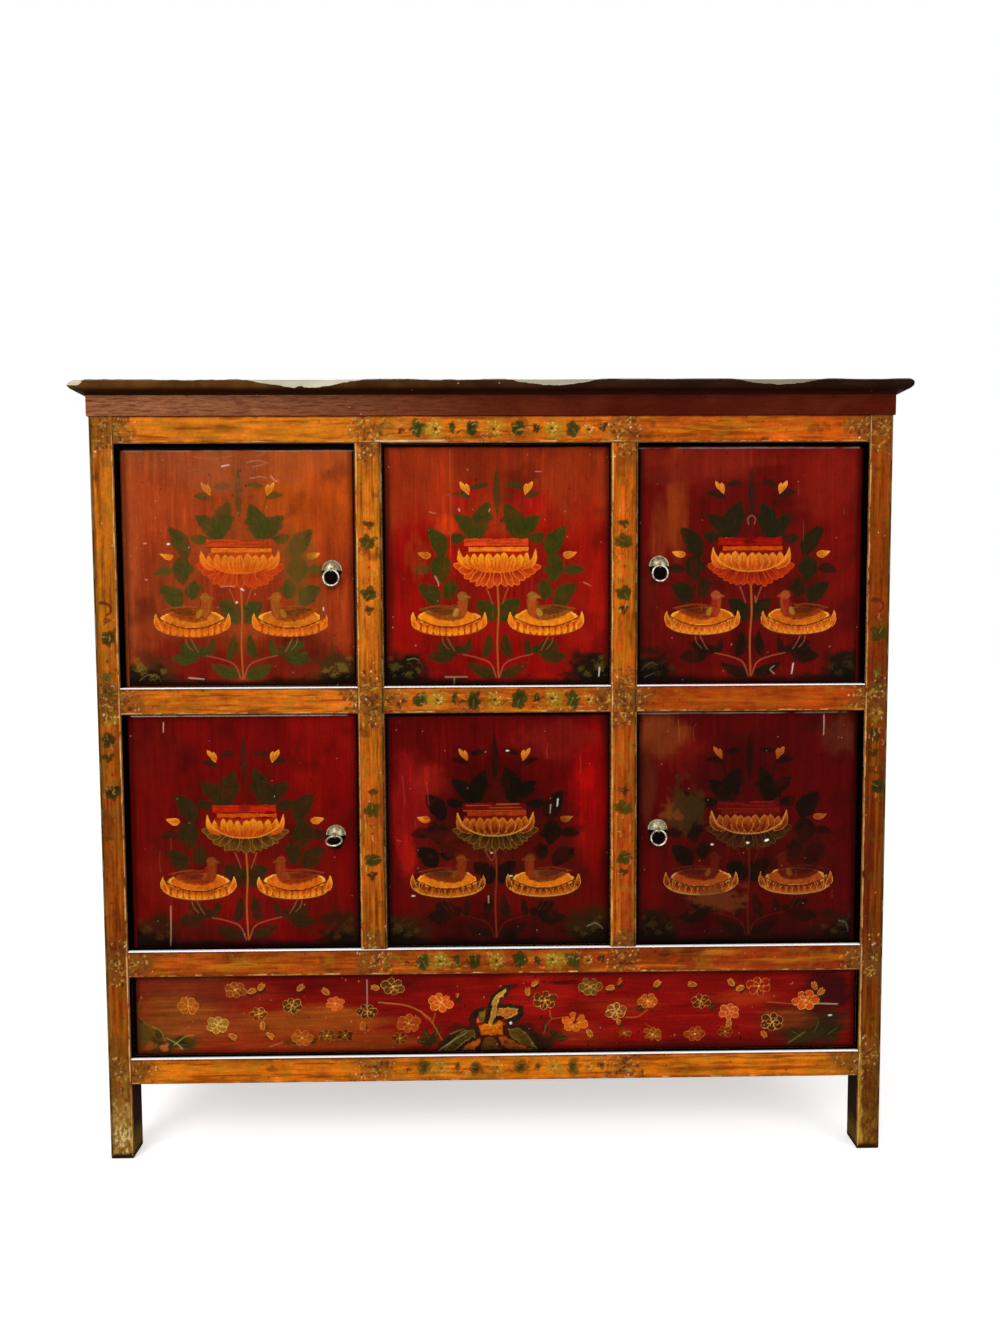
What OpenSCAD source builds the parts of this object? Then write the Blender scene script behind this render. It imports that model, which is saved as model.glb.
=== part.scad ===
// Painted low cabinet with four pivot-hung doors, two fixed centre panels and an apron panel.
// The frame is mortised and tenoned, its panels slide in grooves, and the doors turn on wooden
// pintles. The front faces -Y, +Z is up, and the origin is under the middle of the top board.

/* [Overall size] */
// Width across the outer faces of the posts
body_w = 1080; // [1000:5:1200]
// Depth from the front of the front posts to the back of the rear posts
body_d = 400; // [340:5:480]
// Clear height from the floor to the base rails
leg_clear = 107.5; // [70:0.5:150]

/* [Openings] */
// Height of each door opening
door_open_h = 328; // [280:1:370]
// Height of the apron opening between the base rail and the lower rail
apron_open_h = 116; // [90:1:140]
// Width of the left door openings
left_bay_w = 321; // [290:0.5:340]
// Width of the right door openings
right_bay_w = 313.5; // [290:0.5:340]

/* [Frame members] */
// Width of a post across the front
post_w = 32; // [28:0.5:40]
// Depth of a post from front to back
post_d = 38; // [36.5:0.5:46]
// Height of the base, lower and mid rails
rail_h = 36.5; // [33:0.5:42]
// Height of the top rail
top_rail_h = 36; // [30:0.5:42]
// Depth of the front rails from front to back
rail_d = 36; // [34:0.5:36.5]
// Width of a mullion across the front
mullion_w = 36; // [32:0.5:44]
// Thickness of the side rails
side_rail_t = 24; // [20:0.5:28]
// Thickness of the rear rails
rear_rail_t = 24; // [20:0.5:28]
// Length of the front tenons
tenon_l = 14; // [10:0.5:15]
// Length of the side and rear tenons
short_tenon_l = 12; // [8:0.5:13]
// Length of the mullion tenons
mullion_tenon_l = 15; // [10:0.5:20]
// Worn chamfer along the long edges of the frame members
ease = 1.2; // [0.6:0.1:2]
// Radius worn on the lower end of each leg
foot_round = 4; // [2:0.5:6]

/* [Panels and boards] */
// Thickness of the painted front panels and of the front tenons
panel_t = 12; // [10:0.5:13]
// Depth of the front panels behind the frame face
panel_recess = 12; // [10:0.5:13]
// Depth of the panel grooves
groove_d = 8; // [6:0.5:9]
// Space left at the bottom of a groove for the board to swell
groove_gap = 0.5; // [0.3:0.1:1]
// Thickness of the side panels
side_panel_t = 10; // [8:0.5:12]
// Depth of the side panels behind the outer faces of the posts
side_recess = 8; // [6:0.5:10]
// Thickness of the back planks
back_t = 10; // [8:0.5:12]
// Depth of the back planks behind the rear faces of the posts
back_recess = 8; // [6:0.5:10]
// Number of back planks across the cabinet
back_planks = 6; // [4:1:9]
// Gap between neighbouring planks
plank_gap = 0.5; // [0.3:0.1:1]

/* [Shelf and bottom] */
// Thickness of the shelf and bottom planks
shelf_t = 14; // [10:0.5:17]
// Width and height of the cleats that carry the planks
cleat = 18; // [14:0.5:19]
// Number of planks in the shelf and in the bottom
shelf_planks = 6; // [4:1:9]

/* [Frieze and top board] */
// Height of the frieze boards
frieze_h = 27; // [20:0.5:36]
// Thickness of the frieze boards
frieze_t = 12; // [9:0.5:14]
// How far the frieze stands in front of the posts
frieze_proud = 2; // [1:0.5:4]
// Thickness of the round nose of the top board
nose_t = 15; // [12:0.5:20]
// Height of the hollow moulding under the nose
cove_h = 4; // [3:0.5:8]
// Flat strip between the nose and the hollow
cove_flat = 1.5; // [1:0.5:3]
// Overhang of the top board past the posts at the front
over_front = 20; // [16:0.5:30]
// Overhang of the top board past the posts at each side
over_side = 20; // [16:0.5:30]
// Overhang of the top board past the posts at the back
over_rear = 5; // [0:0.5:15]
// Height of the stub tenons that hold the top board
cap_tenon_h = 10; // [6:0.5:12]
// Shoulder round each stub tenon
cap_shoulder = 4; // [3:0.5:6]

/* [Doors] */
// Thickness of the door boards
door_t = 18; // [16:0.5:20]
// Depth of the closed doors behind the frame face
door_recess = 12; // [10:0.5:14]
// Gap between a post and the hinge edge of its door
hinge_gap = 2; // [1.6:0.1:3]
// Gap between the free edge of a door and the mullion
free_gap = 2; // [1:0.1:4]
// Gap above and below a door
level_gap = 1.5; // [1:0.1:3]
// Radius worn on the front of the hinge edge
hinge_round = 7.5; // [6.5:0.5:8]
// Radius of the wooden pintles
pintle_r = 6; // [4.5:0.1:6.5]
// Length of each pintle past the end of its door
pintle_l = 12; // [8:0.5:14]
// Running clearance round and under a pintle
pintle_clear = 0.3; // [0.2:0.05:0.5]
// Height of the battens on the backs of the doors
batten_h = 34; // [24:1:44]
// Thickness of the battens
batten_t = 12; // [9:0.5:16]
// Depth to which the battens are let into the doors
batten_let = 3; // [2:0.5:5]
// Distance from the batten's middle to the end of the door
batten_end = 56; // [36:1:90]
// Distance from the pintle to the start of the battens
batten_in = 42; // [34:1:60]
// Distance from the end of the battens to the free edge
batten_free = 18; // [14:1:30]
// Thickness of the door stops behind the mullions
stop_t = 12; // [9:0.5:16]
// How far a door stop reaches behind its door
stop_lap = 8; // [6:0.5:12]
// Clearance between a closed door and its stop
stop_clear = 0.3; // [0.2:0.1:0.6]
// Width of a stop on the back of its mullion
stop_seat = 12; // [10:0.5:15]

/* [Ring pulls] */
// Distance from the free edge to the pulls of the left doors
pull_in_left = 32; // [24:0.5:42]
// Distance from the free edge to the pulls of the right doors
pull_in_right = 29; // [24:0.5:42]
// Drop of the left pulls below the middle of the opening
pull_drop_left = 5; // [0:0.5:20]
// Drop of the right pulls below the middle of the opening
pull_drop_right = 1; // [0:0.5:20]
// Radius of a boss at its flange
boss_r = 13.5; // [12.5:0.5:16]
// Thickness of the flange
flange_t = 0.8; // [0.5:0.1:1.2]
// Radius of the dome on a boss
dome_r = 12; // [10:0.5:13]
// Height of a boss over its door
boss_h = 7; // [5:0.5:9]
// Radius of the ring to the middle of its wire
ring_r = 10.5; // [9:0.5:14]
// Radius of the ring's wire
ring_wire_r = 1.2; // [0.9:0.1:1.4]
// Radius of the cotter's eye to the middle of its wire
eye_r = 2.6; // [2.5:0.1:3]
// Radius of the cotter's wire
eye_wire_r = 0.9; // [0.7:0.05:1]
// Radius of the cotter's shank
shank_r = 1.35; // [1.1:0.05:1.6]
// Clearance round the cotter in the boss and the door
cotter_clear = 0.1; // [0.05:0.05:0.3]
// Length of each leg of the cotter bent over behind the door
cotter_leg = 10; // [7:0.5:14]
// How far the lower left ring stands out from hanging straight down
raised_ring = 65; // [0:1:90]

/* [Hidden] */
$fn = 64;
half_w = body_w / 2;
total_d = body_d + over_front + over_rear;
front_y = over_front - total_d / 2;
rear_y = front_y + body_d;
post_back_y = front_y + post_d;
rear_post_y = rear_y - post_d;
in_x = half_w - post_w;
mull_l = [left_bay_w - in_x, left_bay_w - in_x + mullion_w];
mull_r = [in_x - right_bay_w - mullion_w, in_x - right_bay_w];

base_z = [leg_clear, leg_clear + rail_h];
lower_z = [base_z[1] + apron_open_h, base_z[1] + apron_open_h + rail_h];
mid_z = [lower_z[1] + door_open_h, lower_z[1] + door_open_h + rail_h];
top_z = [mid_z[1] + door_open_h, mid_z[1] + door_open_h + top_rail_h];
cap_z = top_z[1] + frieze_h;
cap_t = cove_h + nose_t;

front_plough = [front_y + panel_recess, front_y + panel_recess + panel_t];
rear_plough = [rear_y - back_recess - back_t, rear_y - back_recess];
side_plough = [side_recess - half_w, side_recess + side_panel_t - half_w];
tongue = groove_d - groove_gap;
frieze_in = frieze_t - frieze_proud;
mullion_d = door_recess + door_t + stop_clear;
// How far a tenon's block runs back into its own member
root = 6;
// How far a cut runs past the surface that it opens
past = 1;

pivot_in = door_t / 2 + hinge_gap;
pivot_y = front_y + door_recess + door_t / 2;
dome_h = boss_h - flange_t;
dome_ball_r = (dome_r * dome_r + dome_h * dome_h) / (2 * dome_h);
eye_y = -door_t / 2 - boss_h - eye_r - eye_wire_r;
deep_front_y = front_y + rail_d;
deep_rear_y = rear_y - rear_rail_t;

PAINT = "#b4622c";
RED_PAINT = "#8c2a1c";
DARK_PAINT = "#4a1d18";
BARE_WOOD = "#7d5a3c";
BRASS = "#9b8350";

// A plain board between two limits on each axis
module block(x, y, z) {
  translate([x[0], y[0], z[0]]) cube([x[1] - x[0], y[1] - y[0], z[1] - z[0]]);
}

// A section whose long edges at its near side are eased
module eased_section(w, d) {
  polygon([[ease, 0], [w - ease, 0], [w, ease], [w, d], [0, d], [0, ease]]);
}

// An upright member with eased front edges
module upright(x, y, z) {
  translate([x[0], y[0], z[0]])
    linear_extrude(z[1] - z[0]) eased_section(x[1] - x[0], y[1] - y[0]);
}

// A rail across the front or the back, with its eased edges at the outside
module cross_rail(x, y, z) {
  translate([x[0], y[0], z[0]]) rotate([90, 0, 90]) linear_extrude(x[1] - x[0])
    mirror([1, -1]) eased_section(z[1] - z[0], y[1] - y[0]);
}

// A rail of the left side, from front to back, with its eased edges at the outside
module side_rail(x, y, z) {
  translate([x[0], y[1], z[0]]) rotate([90, 0, 0]) linear_extrude(y[1] - y[0])
    mirror([1, -1]) eased_section(z[1] - z[0], x[1] - x[0]);
}

// Builds a left-hand piece, or its right-hand twin
module on_side(side) {
  if (side == "right") mirror([1, 0, 0]) children();
  else children();
}

// The hollow of a tenon or its solid, in the plane of the front panels
module front_tenon(x, z) {
  block(x, front_plough, [z[0] + groove_d, z[1] - groove_d]);
}

// Both tenons of a full-width front rail
module long_rail_tenons(z) {
  front_tenon([-in_x - tenon_l, root - in_x], z);
  front_tenon([in_x - root, in_x + tenon_l], z);
}

// The tenons of the three mid rail pieces
module mid_rail_tenons() {
  long_rail_tenons(mid_z);
  for (x = [mull_l, mull_r]) {
    front_tenon([x[0] - root, x[0] + tenon_l], mid_z);
    front_tenon([x[1] - tenon_l, x[1] + root], mid_z);
  }
}

// The upper and lower tenons of both mullions
module mullion_tenons() {
  for (x = [mull_l, mull_r]) {
    side_in = [x[0] + groove_d, x[1] - groove_d];
    block(side_in, front_plough, [lower_z[1] - mullion_tenon_l, lower_z[1] + root]);
    block(side_in, front_plough, [top_z[0] - root, top_z[0] + mullion_tenon_l]);
  }
}

// A board in the front grooves, grown into the frame by a depth
module front_board(x, z, into) {
  block([x[0] - into, x[1] + into], front_plough, [z[0] - into, z[1] + into]);
}

// The grooves of the three fixed front panels
module front_grooves() {
  for (z = [[lower_z[1], mid_z[0]], [mid_z[1], top_z[0]]])
    front_board([mull_l[1], mull_r[0]], z, groove_d);
  front_board([-in_x, in_x], [base_z[1], lower_z[0]], groove_d);
}

// Where the pintles turn: a bore under each door, from its sill down, and one over it
module pintle_bores() {
  bore_l = pintle_l + pintle_clear;
  for (x = [pivot_in - in_x, in_x - pivot_in]) {
    for (sill = [lower_z[1], mid_z[1]]) translate([x, pivot_y, sill + level_gap - bore_l])
      cylinder(r = pintle_r + pintle_clear, h = bore_l);
    for (head = [mid_z[0], top_z[0]]) translate([x, pivot_y, head - level_gap])
      cylinder(r = pintle_r + pintle_clear, h = bore_l);
  }
}

// A front member with its grooves, mortises and bores cut
module fitted_front() {
  difference() {
    children();
    front_grooves();
    pintle_bores();
  }
}

// The side panels of the left side, grown into their grooves by a depth
module side_board(z, into) {
  block(side_plough, [post_back_y - into, rear_post_y + into], [z[0] - into, z[1] + into]);
}

module side_grooves() {
  side_board([base_z[1], mid_z[0]], groove_d);
  side_board([mid_z[1], top_z[0]], groove_d);
}

module side_tenons(z) {
  for (y = [[post_back_y - short_tenon_l, post_back_y + root],
            [rear_post_y - root, rear_post_y + short_tenon_l]])
    block(side_plough, y, [z[0] + groove_d, z[1] - groove_d]);
}

// The back planks as one board, grown into their grooves by a depth
module back_board(z, into) {
  block([-in_x - into, in_x + into], rear_plough, [z[0] - into, z[1] + into]);
}

module rear_grooves() {
  back_board([base_z[1], mid_z[0]], groove_d);
  back_board([mid_z[1], top_z[0]], groove_d);
}

module rear_tenons(z) {
  for (x = [[-in_x - short_tenon_l, root - in_x], [in_x - root, in_x + short_tenon_l]])
    block(x, rear_plough, [z[0] + groove_d, z[1] - groove_d]);
}

// The stub tenon of a left post in the top board
module cap_tenon(y) {
  block([frieze_in - half_w + cap_shoulder, -in_x - cap_shoulder],
        [y[0] + cap_shoulder, y[1] - cap_shoulder], [cap_z - root, cap_z + cap_tenon_h]);
}

// A post's side view, with the lower corners worn round
module worn_leg(w) {
  translate([foot_round, 0]) square([w - 2 * foot_round, cap_z]);
  translate([0, foot_round]) square([w, cap_z - foot_round]);
  for (x = [foot_round, w - foot_round]) translate([x, foot_round]) circle(foot_round);
}

module post_blank(y) {
  x = [-half_w, -in_x];
  intersection() {
    translate([x[0], y[0], 0]) linear_extrude(cap_z)
      polygon([[ease, 0], [post_w - ease, 0], [post_w, ease], [post_w, post_d - ease],
               [post_w - ease, post_d], [ease, post_d], [0, post_d - ease], [0, ease]]);
    translate([x[0], y[1], 0]) rotate([90, 0, 0]) linear_extrude(post_d) worn_leg(post_w);
    translate([x[0], y[0], 0]) rotate([90, 0, 90]) linear_extrude(post_w) worn_leg(post_d);
  }
}

module front_post(side) {
  y = [front_y, post_back_y];
  on_side(side) color(PAINT) {
    difference() {
      post_blank(y);
      block([-half_w - past, past - in_x], [front_y - past, front_y + frieze_in],
            [top_z[1], cap_z + past]);
      block([-half_w - past, frieze_in - half_w], [front_y - past, post_back_y + past],
            [top_z[1], cap_z + past]);
      for (z = [base_z, lower_z, mid_z, top_z]) long_rail_tenons(z);
      for (z = [base_z, mid_z, top_z]) side_tenons(z);
      front_grooves();
      side_grooves();
    }
    cap_tenon([front_y + frieze_in, post_back_y]);
  }
}

module rear_post(side) {
  y = [rear_post_y, rear_y];
  on_side(side) color(BARE_WOOD) {
    difference() {
      post_blank(y);
      block([-half_w - past, frieze_in - half_w], [rear_post_y - past, rear_y + past],
            [top_z[1], cap_z + past]);
      for (z = [base_z, mid_z, [top_z[0], cap_z]]) rear_tenons(z);
      for (z = [base_z, mid_z, top_z]) side_tenons(z);
      rear_grooves();
      side_grooves();
    }
    cap_tenon(y);
  }
}

// A front rail from post to post
module long_rail(z) {
  color(PAINT) fitted_front() {
    difference() {
      union() {
        cross_rail([-in_x, in_x], [front_y, deep_front_y], z);
        long_rail_tenons(z);
      }
      mullion_tenons();
    }
  }
}

// A short mid rail piece with a tenon at each end
module mid_rail(x) {
  color(PAINT) fitted_front() {
    cross_rail(x, [front_y, deep_front_y], mid_z);
    front_tenon([x[0] - tenon_l, x[0] + root], mid_z);
    front_tenon([x[1] - root, x[1] + tenon_l], mid_z);
  }
}

module mullion(x) {
  color(PAINT) difference() {
    union() {
      upright(x, [front_y, front_y + mullion_d], [lower_z[1], top_z[0]]);
      intersection() {
        mullion_tenons();
        block(x, [front_y, rear_y], [0, cap_z]);
      }
    }
    front_grooves();
    mid_rail_tenons();
  }
}

module frieze_front() {
  color(DARK_PAINT)
    block([-half_w - frieze_proud, half_w + frieze_proud],
          [front_y - frieze_proud, front_y + frieze_in], [top_z[1], cap_z]);
}

module frieze_side(side) {
  on_side(side) color(DARK_PAINT)
    block([-half_w - frieze_proud, frieze_in - half_w], [front_y + frieze_in, rear_y],
          [top_z[1], cap_z]);
}

// Section of the top board over a length, with a nose and a hollow at each moulded end
module cap_section(length, over, both) {
  hollow_w = over - frieze_proud - nose_t / 2 - cove_flat;
  hollow_r = (hollow_w * hollow_w + cove_h * cove_h) / (2 * cove_h);
  start = nose_t / 2 + cove_flat;
  steps = 8;
  sweep = asin(hollow_w / hollow_r);
  hollow = [for (i = [0 : steps])
    [start + hollow_r * sin(sweep * i / steps), cove_h - hollow_r * (1 - cos(sweep * i / steps))]];
  far = both ? length - start : length;
  for (end = both ? [0, 1] : [0])
    translate([end * length, 0]) mirror([end, 0]) {
      translate([nose_t / 2, cove_h + nose_t / 2]) circle(d = nose_t);
      translate([nose_t / 2, cove_h]) square([far - nose_t / 2, nose_t]);
      polygon(concat(hollow, [[far, 0], [far, cove_h]]));
    }
}

module top_board() {
  width = 2 * (half_w + over_side);
  color(DARK_PAINT) difference() {
    intersection() {
      translate([-width / 2, -total_d / 2, cap_z]) rotate([90, 0, 90])
        linear_extrude(width) cap_section(total_d, over_front, false);
      translate([-width / 2, total_d / 2, cap_z]) rotate([90, 0, 0])
        linear_extrude(total_d) cap_section(width, over_side, true);
    }
    for (side = ["left", "right"]) on_side(side) {
      cap_tenon([front_y + frieze_in, post_back_y]);
      cap_tenon([rear_post_y, rear_y]);
    }
  }
}

module centre_panel(z) {
  color(RED_PAINT) front_board([mull_l[1], mull_r[0]], z, tongue);
}

module apron_panel() {
  color(RED_PAINT) front_board([-in_x, in_x], [base_z[1], lower_z[0]], tongue);
}

module fitted_side_rail(side, z) {
  on_side(side) color(PAINT) difference() {
    union() {
      side_rail([-half_w, side_rail_t - half_w], [post_back_y, rear_post_y], z);
      side_tenons(z);
    }
    side_grooves();
  }
}

module side_panel(side, z) {
  on_side(side) color(RED_PAINT) side_board(z, tongue);
}

module rear_rail(z) {
  color(BARE_WOOD) difference() {
    union() {
      block([-in_x, in_x], [deep_rear_y, rear_y], z);
      rear_tenons(z);
    }
    rear_grooves();
  }
}

module back_boards(z) {
  span = 2 * (in_x + tongue);
  plank_w = (span - (back_planks - 1) * plank_gap) / back_planks;
  color(BARE_WOOD) for (i = [0 : back_planks - 1]) {
    x = i * (plank_w + plank_gap) - span / 2;
    block([x, x + plank_w], rear_plough, [z[0] - tongue, z[1] + tongue]);
  }
}

// Planks from front to back on their cleats, over the rail at a height
module floor_boards(z) {
  span = 2 * (in_x - plank_gap);
  plank_w = (span - (shelf_planks - 1) * plank_gap) / shelf_planks;
  color(BARE_WOOD) for (i = [0 : shelf_planks - 1]) {
    x = i * (plank_w + plank_gap) - span / 2;
    block([x, x + plank_w], [deep_front_y, deep_rear_y], [z + cleat, z + cleat + shelf_t]);
  }
}

// The cleats on the backs of the front and rear rails that carry the planks
module floor_cleats(z) {
  color(BARE_WOOD) for (y = [deep_front_y, deep_rear_y - cleat])
    block([-in_x, in_x], [y, y + cleat], [z, z + cleat]);
}

module door_stops() {
  stop_y = [front_y + mullion_d, front_y + mullion_d + stop_t];
  left_x = mull_l[0] - free_gap - stop_lap;
  right_x = mull_r[1] + free_gap + stop_lap;
  color(BARE_WOOD) for (z = [[lower_z[1], mid_z[0]], [mid_z[1], top_z[0]]]) {
    block([left_x, mull_l[0] + stop_seat], stop_y, z);
    block([mull_r[1] - stop_seat, right_x], stop_y, z);
  }
}

// Puts a door's pieces in place: they are drawn with the pivot at the origin, the opening's
// sill at z = 0 and the free edge towards +X
module hang(side, z) {
  on_side(side) translate([pivot_in - in_x, pivot_y, z[0]]) children();
}

function free_x(side) = (side == "left" ? left_bay_w : right_bay_w) - pivot_in - free_gap;
function pull_x(side) = free_x(side) - (side == "left" ? pull_in_left : pull_in_right);
function pull_z(side) = door_open_h / 2 - (side == "left" ? pull_drop_left : pull_drop_right);
lower_door = [lower_z[1], mid_z[0]];
upper_door = [mid_z[1], top_z[0]];

// The two battens of a door
module batten_pair(side) {
  for (z = [level_gap + batten_end, door_open_h - level_gap - batten_end])
    block([batten_in, free_x(side) - batten_free],
          [door_t / 2 - batten_let, door_t / 2 - batten_let + batten_t],
          [z - batten_h / 2, z + batten_h / 2]);
}

module door(side, z) {
  edge = door_t / 2;
  hang(side, z) color(RED_PAINT) difference() {
    union() {
      translate([0, 0, level_gap]) linear_extrude(door_open_h - 2 * level_gap) {
        translate([hinge_round - edge, -edge]) square([free_x(side) + edge - hinge_round, door_t]);
        translate([-edge, hinge_round - edge]) square([hinge_round, door_t - hinge_round]);
        translate([hinge_round - edge, hinge_round - edge]) circle(hinge_round);
      }
      translate([0, 0, level_gap - pintle_l])
        cylinder(r = pintle_r, h = door_open_h - 2 * level_gap + 2 * pintle_l);
    }
    batten_pair(side);
    translate([pull_x(side), -door_t, pull_z(side)]) rotate([-90, 0, 0])
      cylinder(r = shank_r + cotter_clear, h = 2 * door_t);
  }
}

module battens(side, z) {
  hang(side, z) color(BARE_WOOD) batten_pair(side);
}

// A domed boss on the face of its door, bored for the cotter
module boss(side, z) {
  hang(side, z) translate([pull_x(side), -door_t / 2, pull_z(side)]) rotate([90, 0, 0])
    color(BRASS) difference() {
      union() {
        cylinder(r = boss_r, h = flange_t);
        intersection() {
          translate([0, 0, boss_h - dome_ball_r]) sphere(dome_ball_r);
          cylinder(r = boss_r, h = 2 * boss_h);
        }
      }
      translate([0, 0, -past]) cylinder(r = shank_r + cotter_clear, h = 2 * boss_h);
    }
}

// A cotter: its eye carries the ring, its shank goes through the door, and its two legs are
// bent over behind
module cotter(side, z) {
  hang(side, z) translate([pull_x(side), 0, pull_z(side)]) color(BRASS) {
    translate([0, eye_y, 0]) rotate([0, 90, 0]) rotate_extrude() translate([eye_r, 0]) circle(eye_wire_r);
    translate([0, eye_y + eye_r, 0]) rotate([-90, 0, 0])
      cylinder(r = shank_r, h = door_t / 2 + eye_wire_r - eye_y - eye_r);
    translate([-cotter_leg, door_t / 2 + eye_wire_r, 0]) rotate([0, 90, 0])
      cylinder(r = eye_wire_r, h = 2 * cotter_leg);
  }
}

// A ring hanging in the eye of its cotter, raised from hanging straight by an angle
module ring(side, z, raised) {
  hang(side, z) translate([pull_x(side), eye_y, pull_z(side)]) rotate([-raised, 0, 0])
    translate([0, 0, -ring_r]) rotate([90, 0, 0]) color(BRASS)
      rotate_extrude() translate([ring_r, 0]) circle(ring_wire_r);
}

front_post("left");  // post_front_left
front_post("right");  // post_front_right
rear_post("left");  // post_rear_left
rear_post("right");  // post_rear_right
long_rail(top_z);  // front_top_rail
long_rail(lower_z);  // front_lower_rail
long_rail(base_z);  // front_base_rail
mid_rail([-in_x, mull_l[0]]);  // mid_rail_left
mid_rail([mull_l[1], mull_r[0]]);  // mid_rail_centre
mid_rail([mull_r[1], in_x]);  // mid_rail_right
mullion(mull_l);  // mullion_left
mullion(mull_r);  // mullion_right
frieze_front();
frieze_side("left");  // frieze_left
frieze_side("right");  // frieze_right
top_board();
centre_panel(upper_door);  // panel_upper_centre
centre_panel(lower_door);  // panel_lower_centre
apron_panel();
fitted_side_rail("left", top_z);  // side_rail_top_left
fitted_side_rail("left", mid_z);  // side_rail_mid_left
fitted_side_rail("left", base_z);  // side_rail_base_left
fitted_side_rail("right", top_z);  // side_rail_top_right
fitted_side_rail("right", mid_z);  // side_rail_mid_right
fitted_side_rail("right", base_z);  // side_rail_base_right
side_panel("left", upper_door);  // side_panel_upper_left
side_panel("left", [base_z[1], mid_z[0]]);  // side_panel_lower_left
side_panel("right", upper_door);  // side_panel_upper_right
side_panel("right", [base_z[1], mid_z[0]]);  // side_panel_lower_right
rear_rail([top_z[0], cap_z]);  // rear_rail_top
rear_rail(mid_z);  // rear_rail_mid
rear_rail(base_z);  // rear_rail_base
back_boards(upper_door);  // back_boards_upper
back_boards([base_z[1], mid_z[0]]);  // back_boards_lower
floor_boards(mid_z[0]);  // shelf_boards
floor_cleats(mid_z[0]);  // shelf_cleats
floor_boards(base_z[0]);  // bottom_boards
floor_cleats(base_z[0]);  // bottom_cleats
door_stops();
door("left", upper_door);  // door_upper_left
door("right", upper_door);  // door_upper_right
door("left", lower_door);  // door_lower_left
door("right", lower_door);  // door_lower_right
battens("left", upper_door);  // battens_upper_left
battens("right", upper_door);  // battens_upper_right
battens("left", lower_door);  // battens_lower_left
battens("right", lower_door);  // battens_lower_right
boss("left", upper_door);  // boss_upper_left
boss("right", upper_door);  // boss_upper_right
boss("left", lower_door);  // boss_lower_left
boss("right", lower_door);  // boss_lower_right
cotter("left", upper_door);  // cotter_upper_left
cotter("right", upper_door);  // cotter_upper_right
cotter("left", lower_door);  // cotter_lower_left
cotter("right", lower_door);  // cotter_lower_right
ring("left", upper_door, 0);  // ring_upper_left
ring("right", upper_door, 0);  // ring_upper_right
ring("left", lower_door, raised_ring);  // ring_lower_left
ring("right", lower_door, 0);  // ring_lower_right
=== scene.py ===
"""Looks of the painted two-tier cabinet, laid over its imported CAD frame.

Metres in the scene, millimetres in the painting. Every painted face is a thin closed skin on its board. Its picture is
worked out on the skin's own grid of points: a ground colour, a motif colour, and how deep inside the motif's outline
each point lies.
"""

import math
from types import SimpleNamespace

import bpy
import numpy as np
from mathutils import Matrix, Vector


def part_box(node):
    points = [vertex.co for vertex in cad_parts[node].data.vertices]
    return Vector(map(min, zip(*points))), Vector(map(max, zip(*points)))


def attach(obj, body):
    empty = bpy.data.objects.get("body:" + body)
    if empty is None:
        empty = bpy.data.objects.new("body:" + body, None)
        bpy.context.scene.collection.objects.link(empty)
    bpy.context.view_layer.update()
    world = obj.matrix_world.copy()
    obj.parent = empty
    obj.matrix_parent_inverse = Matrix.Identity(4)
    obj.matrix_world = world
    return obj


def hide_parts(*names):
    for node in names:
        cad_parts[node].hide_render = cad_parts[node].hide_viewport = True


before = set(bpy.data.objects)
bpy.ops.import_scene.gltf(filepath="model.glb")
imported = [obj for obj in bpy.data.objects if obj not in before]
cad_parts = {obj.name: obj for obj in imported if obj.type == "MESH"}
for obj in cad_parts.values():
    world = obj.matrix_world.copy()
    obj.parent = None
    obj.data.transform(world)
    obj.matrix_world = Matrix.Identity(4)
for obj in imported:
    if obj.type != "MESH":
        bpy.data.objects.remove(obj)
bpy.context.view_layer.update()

# ---- places, read from the frame
MM = 0.001
FACE_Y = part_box("front_top_rail")[0].y            # front plane of rails, posts and mullions
PANEL_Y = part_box("apron_panel")[0].y              # front plane of the panels and doors
POST_IN = -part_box("post_front_left")[1].x         # half the clear width between the front posts
POST_OUT = -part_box("post_front_left")[0].x
MULLION_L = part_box("mullion_left")
MULLION_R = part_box("mullion_right")
RAIL_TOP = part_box("front_top_rail")
RAIL_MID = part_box("mid_rail_left")
RAIL_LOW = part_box("front_lower_rail")
RAIL_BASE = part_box("front_base_rail")
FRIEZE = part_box("frieze_front")
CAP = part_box("top_board")
UPPER = (RAIL_MID[1].z / MM, RAIL_TOP[0].z / MM)  # the two tiers' openings, bottom and top
LOWER = (RAIL_LOW[1].z / MM, RAIL_MID[0].z / MM)
TIERS = {"upper": UPPER, "lower": LOWER}
APRON = (RAIL_BASE[1].z / MM, RAIL_LOW[0].z / MM)
SIDE_NAMES = ("left", "right")
TAGS = [f"{tier}_{side}" for tier in TIERS for side in SIDE_NAMES]

# ---- sizes of the paintings, in mm
EASE = 1.3                                        # the eased arris that the frame skins leave bare
PROUD = 0.25                                      # how far a skin stands off its board
GAP = 0.3                                         # between a painting and the frame round it
PANEL_PITCH, APRON_PITCH, FRAME_PITCH = 1.05, 1.13, 1.2
BARE = -4.0                                       # the cover where no motif lies
LATTICE = 97                                      # knots along each side of a noise's lattice
SHADOW = "#050201"


# ---- colour and noise
def tone(code):
    """The linear colour of a '#rrggbb' code, as shaders and attributes hold it."""
    v = np.array([int(code[i : i + 2], 16) for i in (1, 3, 5)]) / 255
    return np.where(v <= 0.04045, v / 12.92, ((v + 0.055) / 1.055) ** 2.4)


def rgba(code):
    return (*tone(code), 1.0)


def blend(base, colour, share):
    """Base turned towards a colour by share, point by point."""
    goal = tone(colour) if isinstance(colour, str) else colour
    return base + (goal - base) * share[..., None]


def mottled(colour, marks):
    """A colour made lighter and darker by marks, point by point."""
    return tone(colour) * (1 + marks)[..., None]


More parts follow.
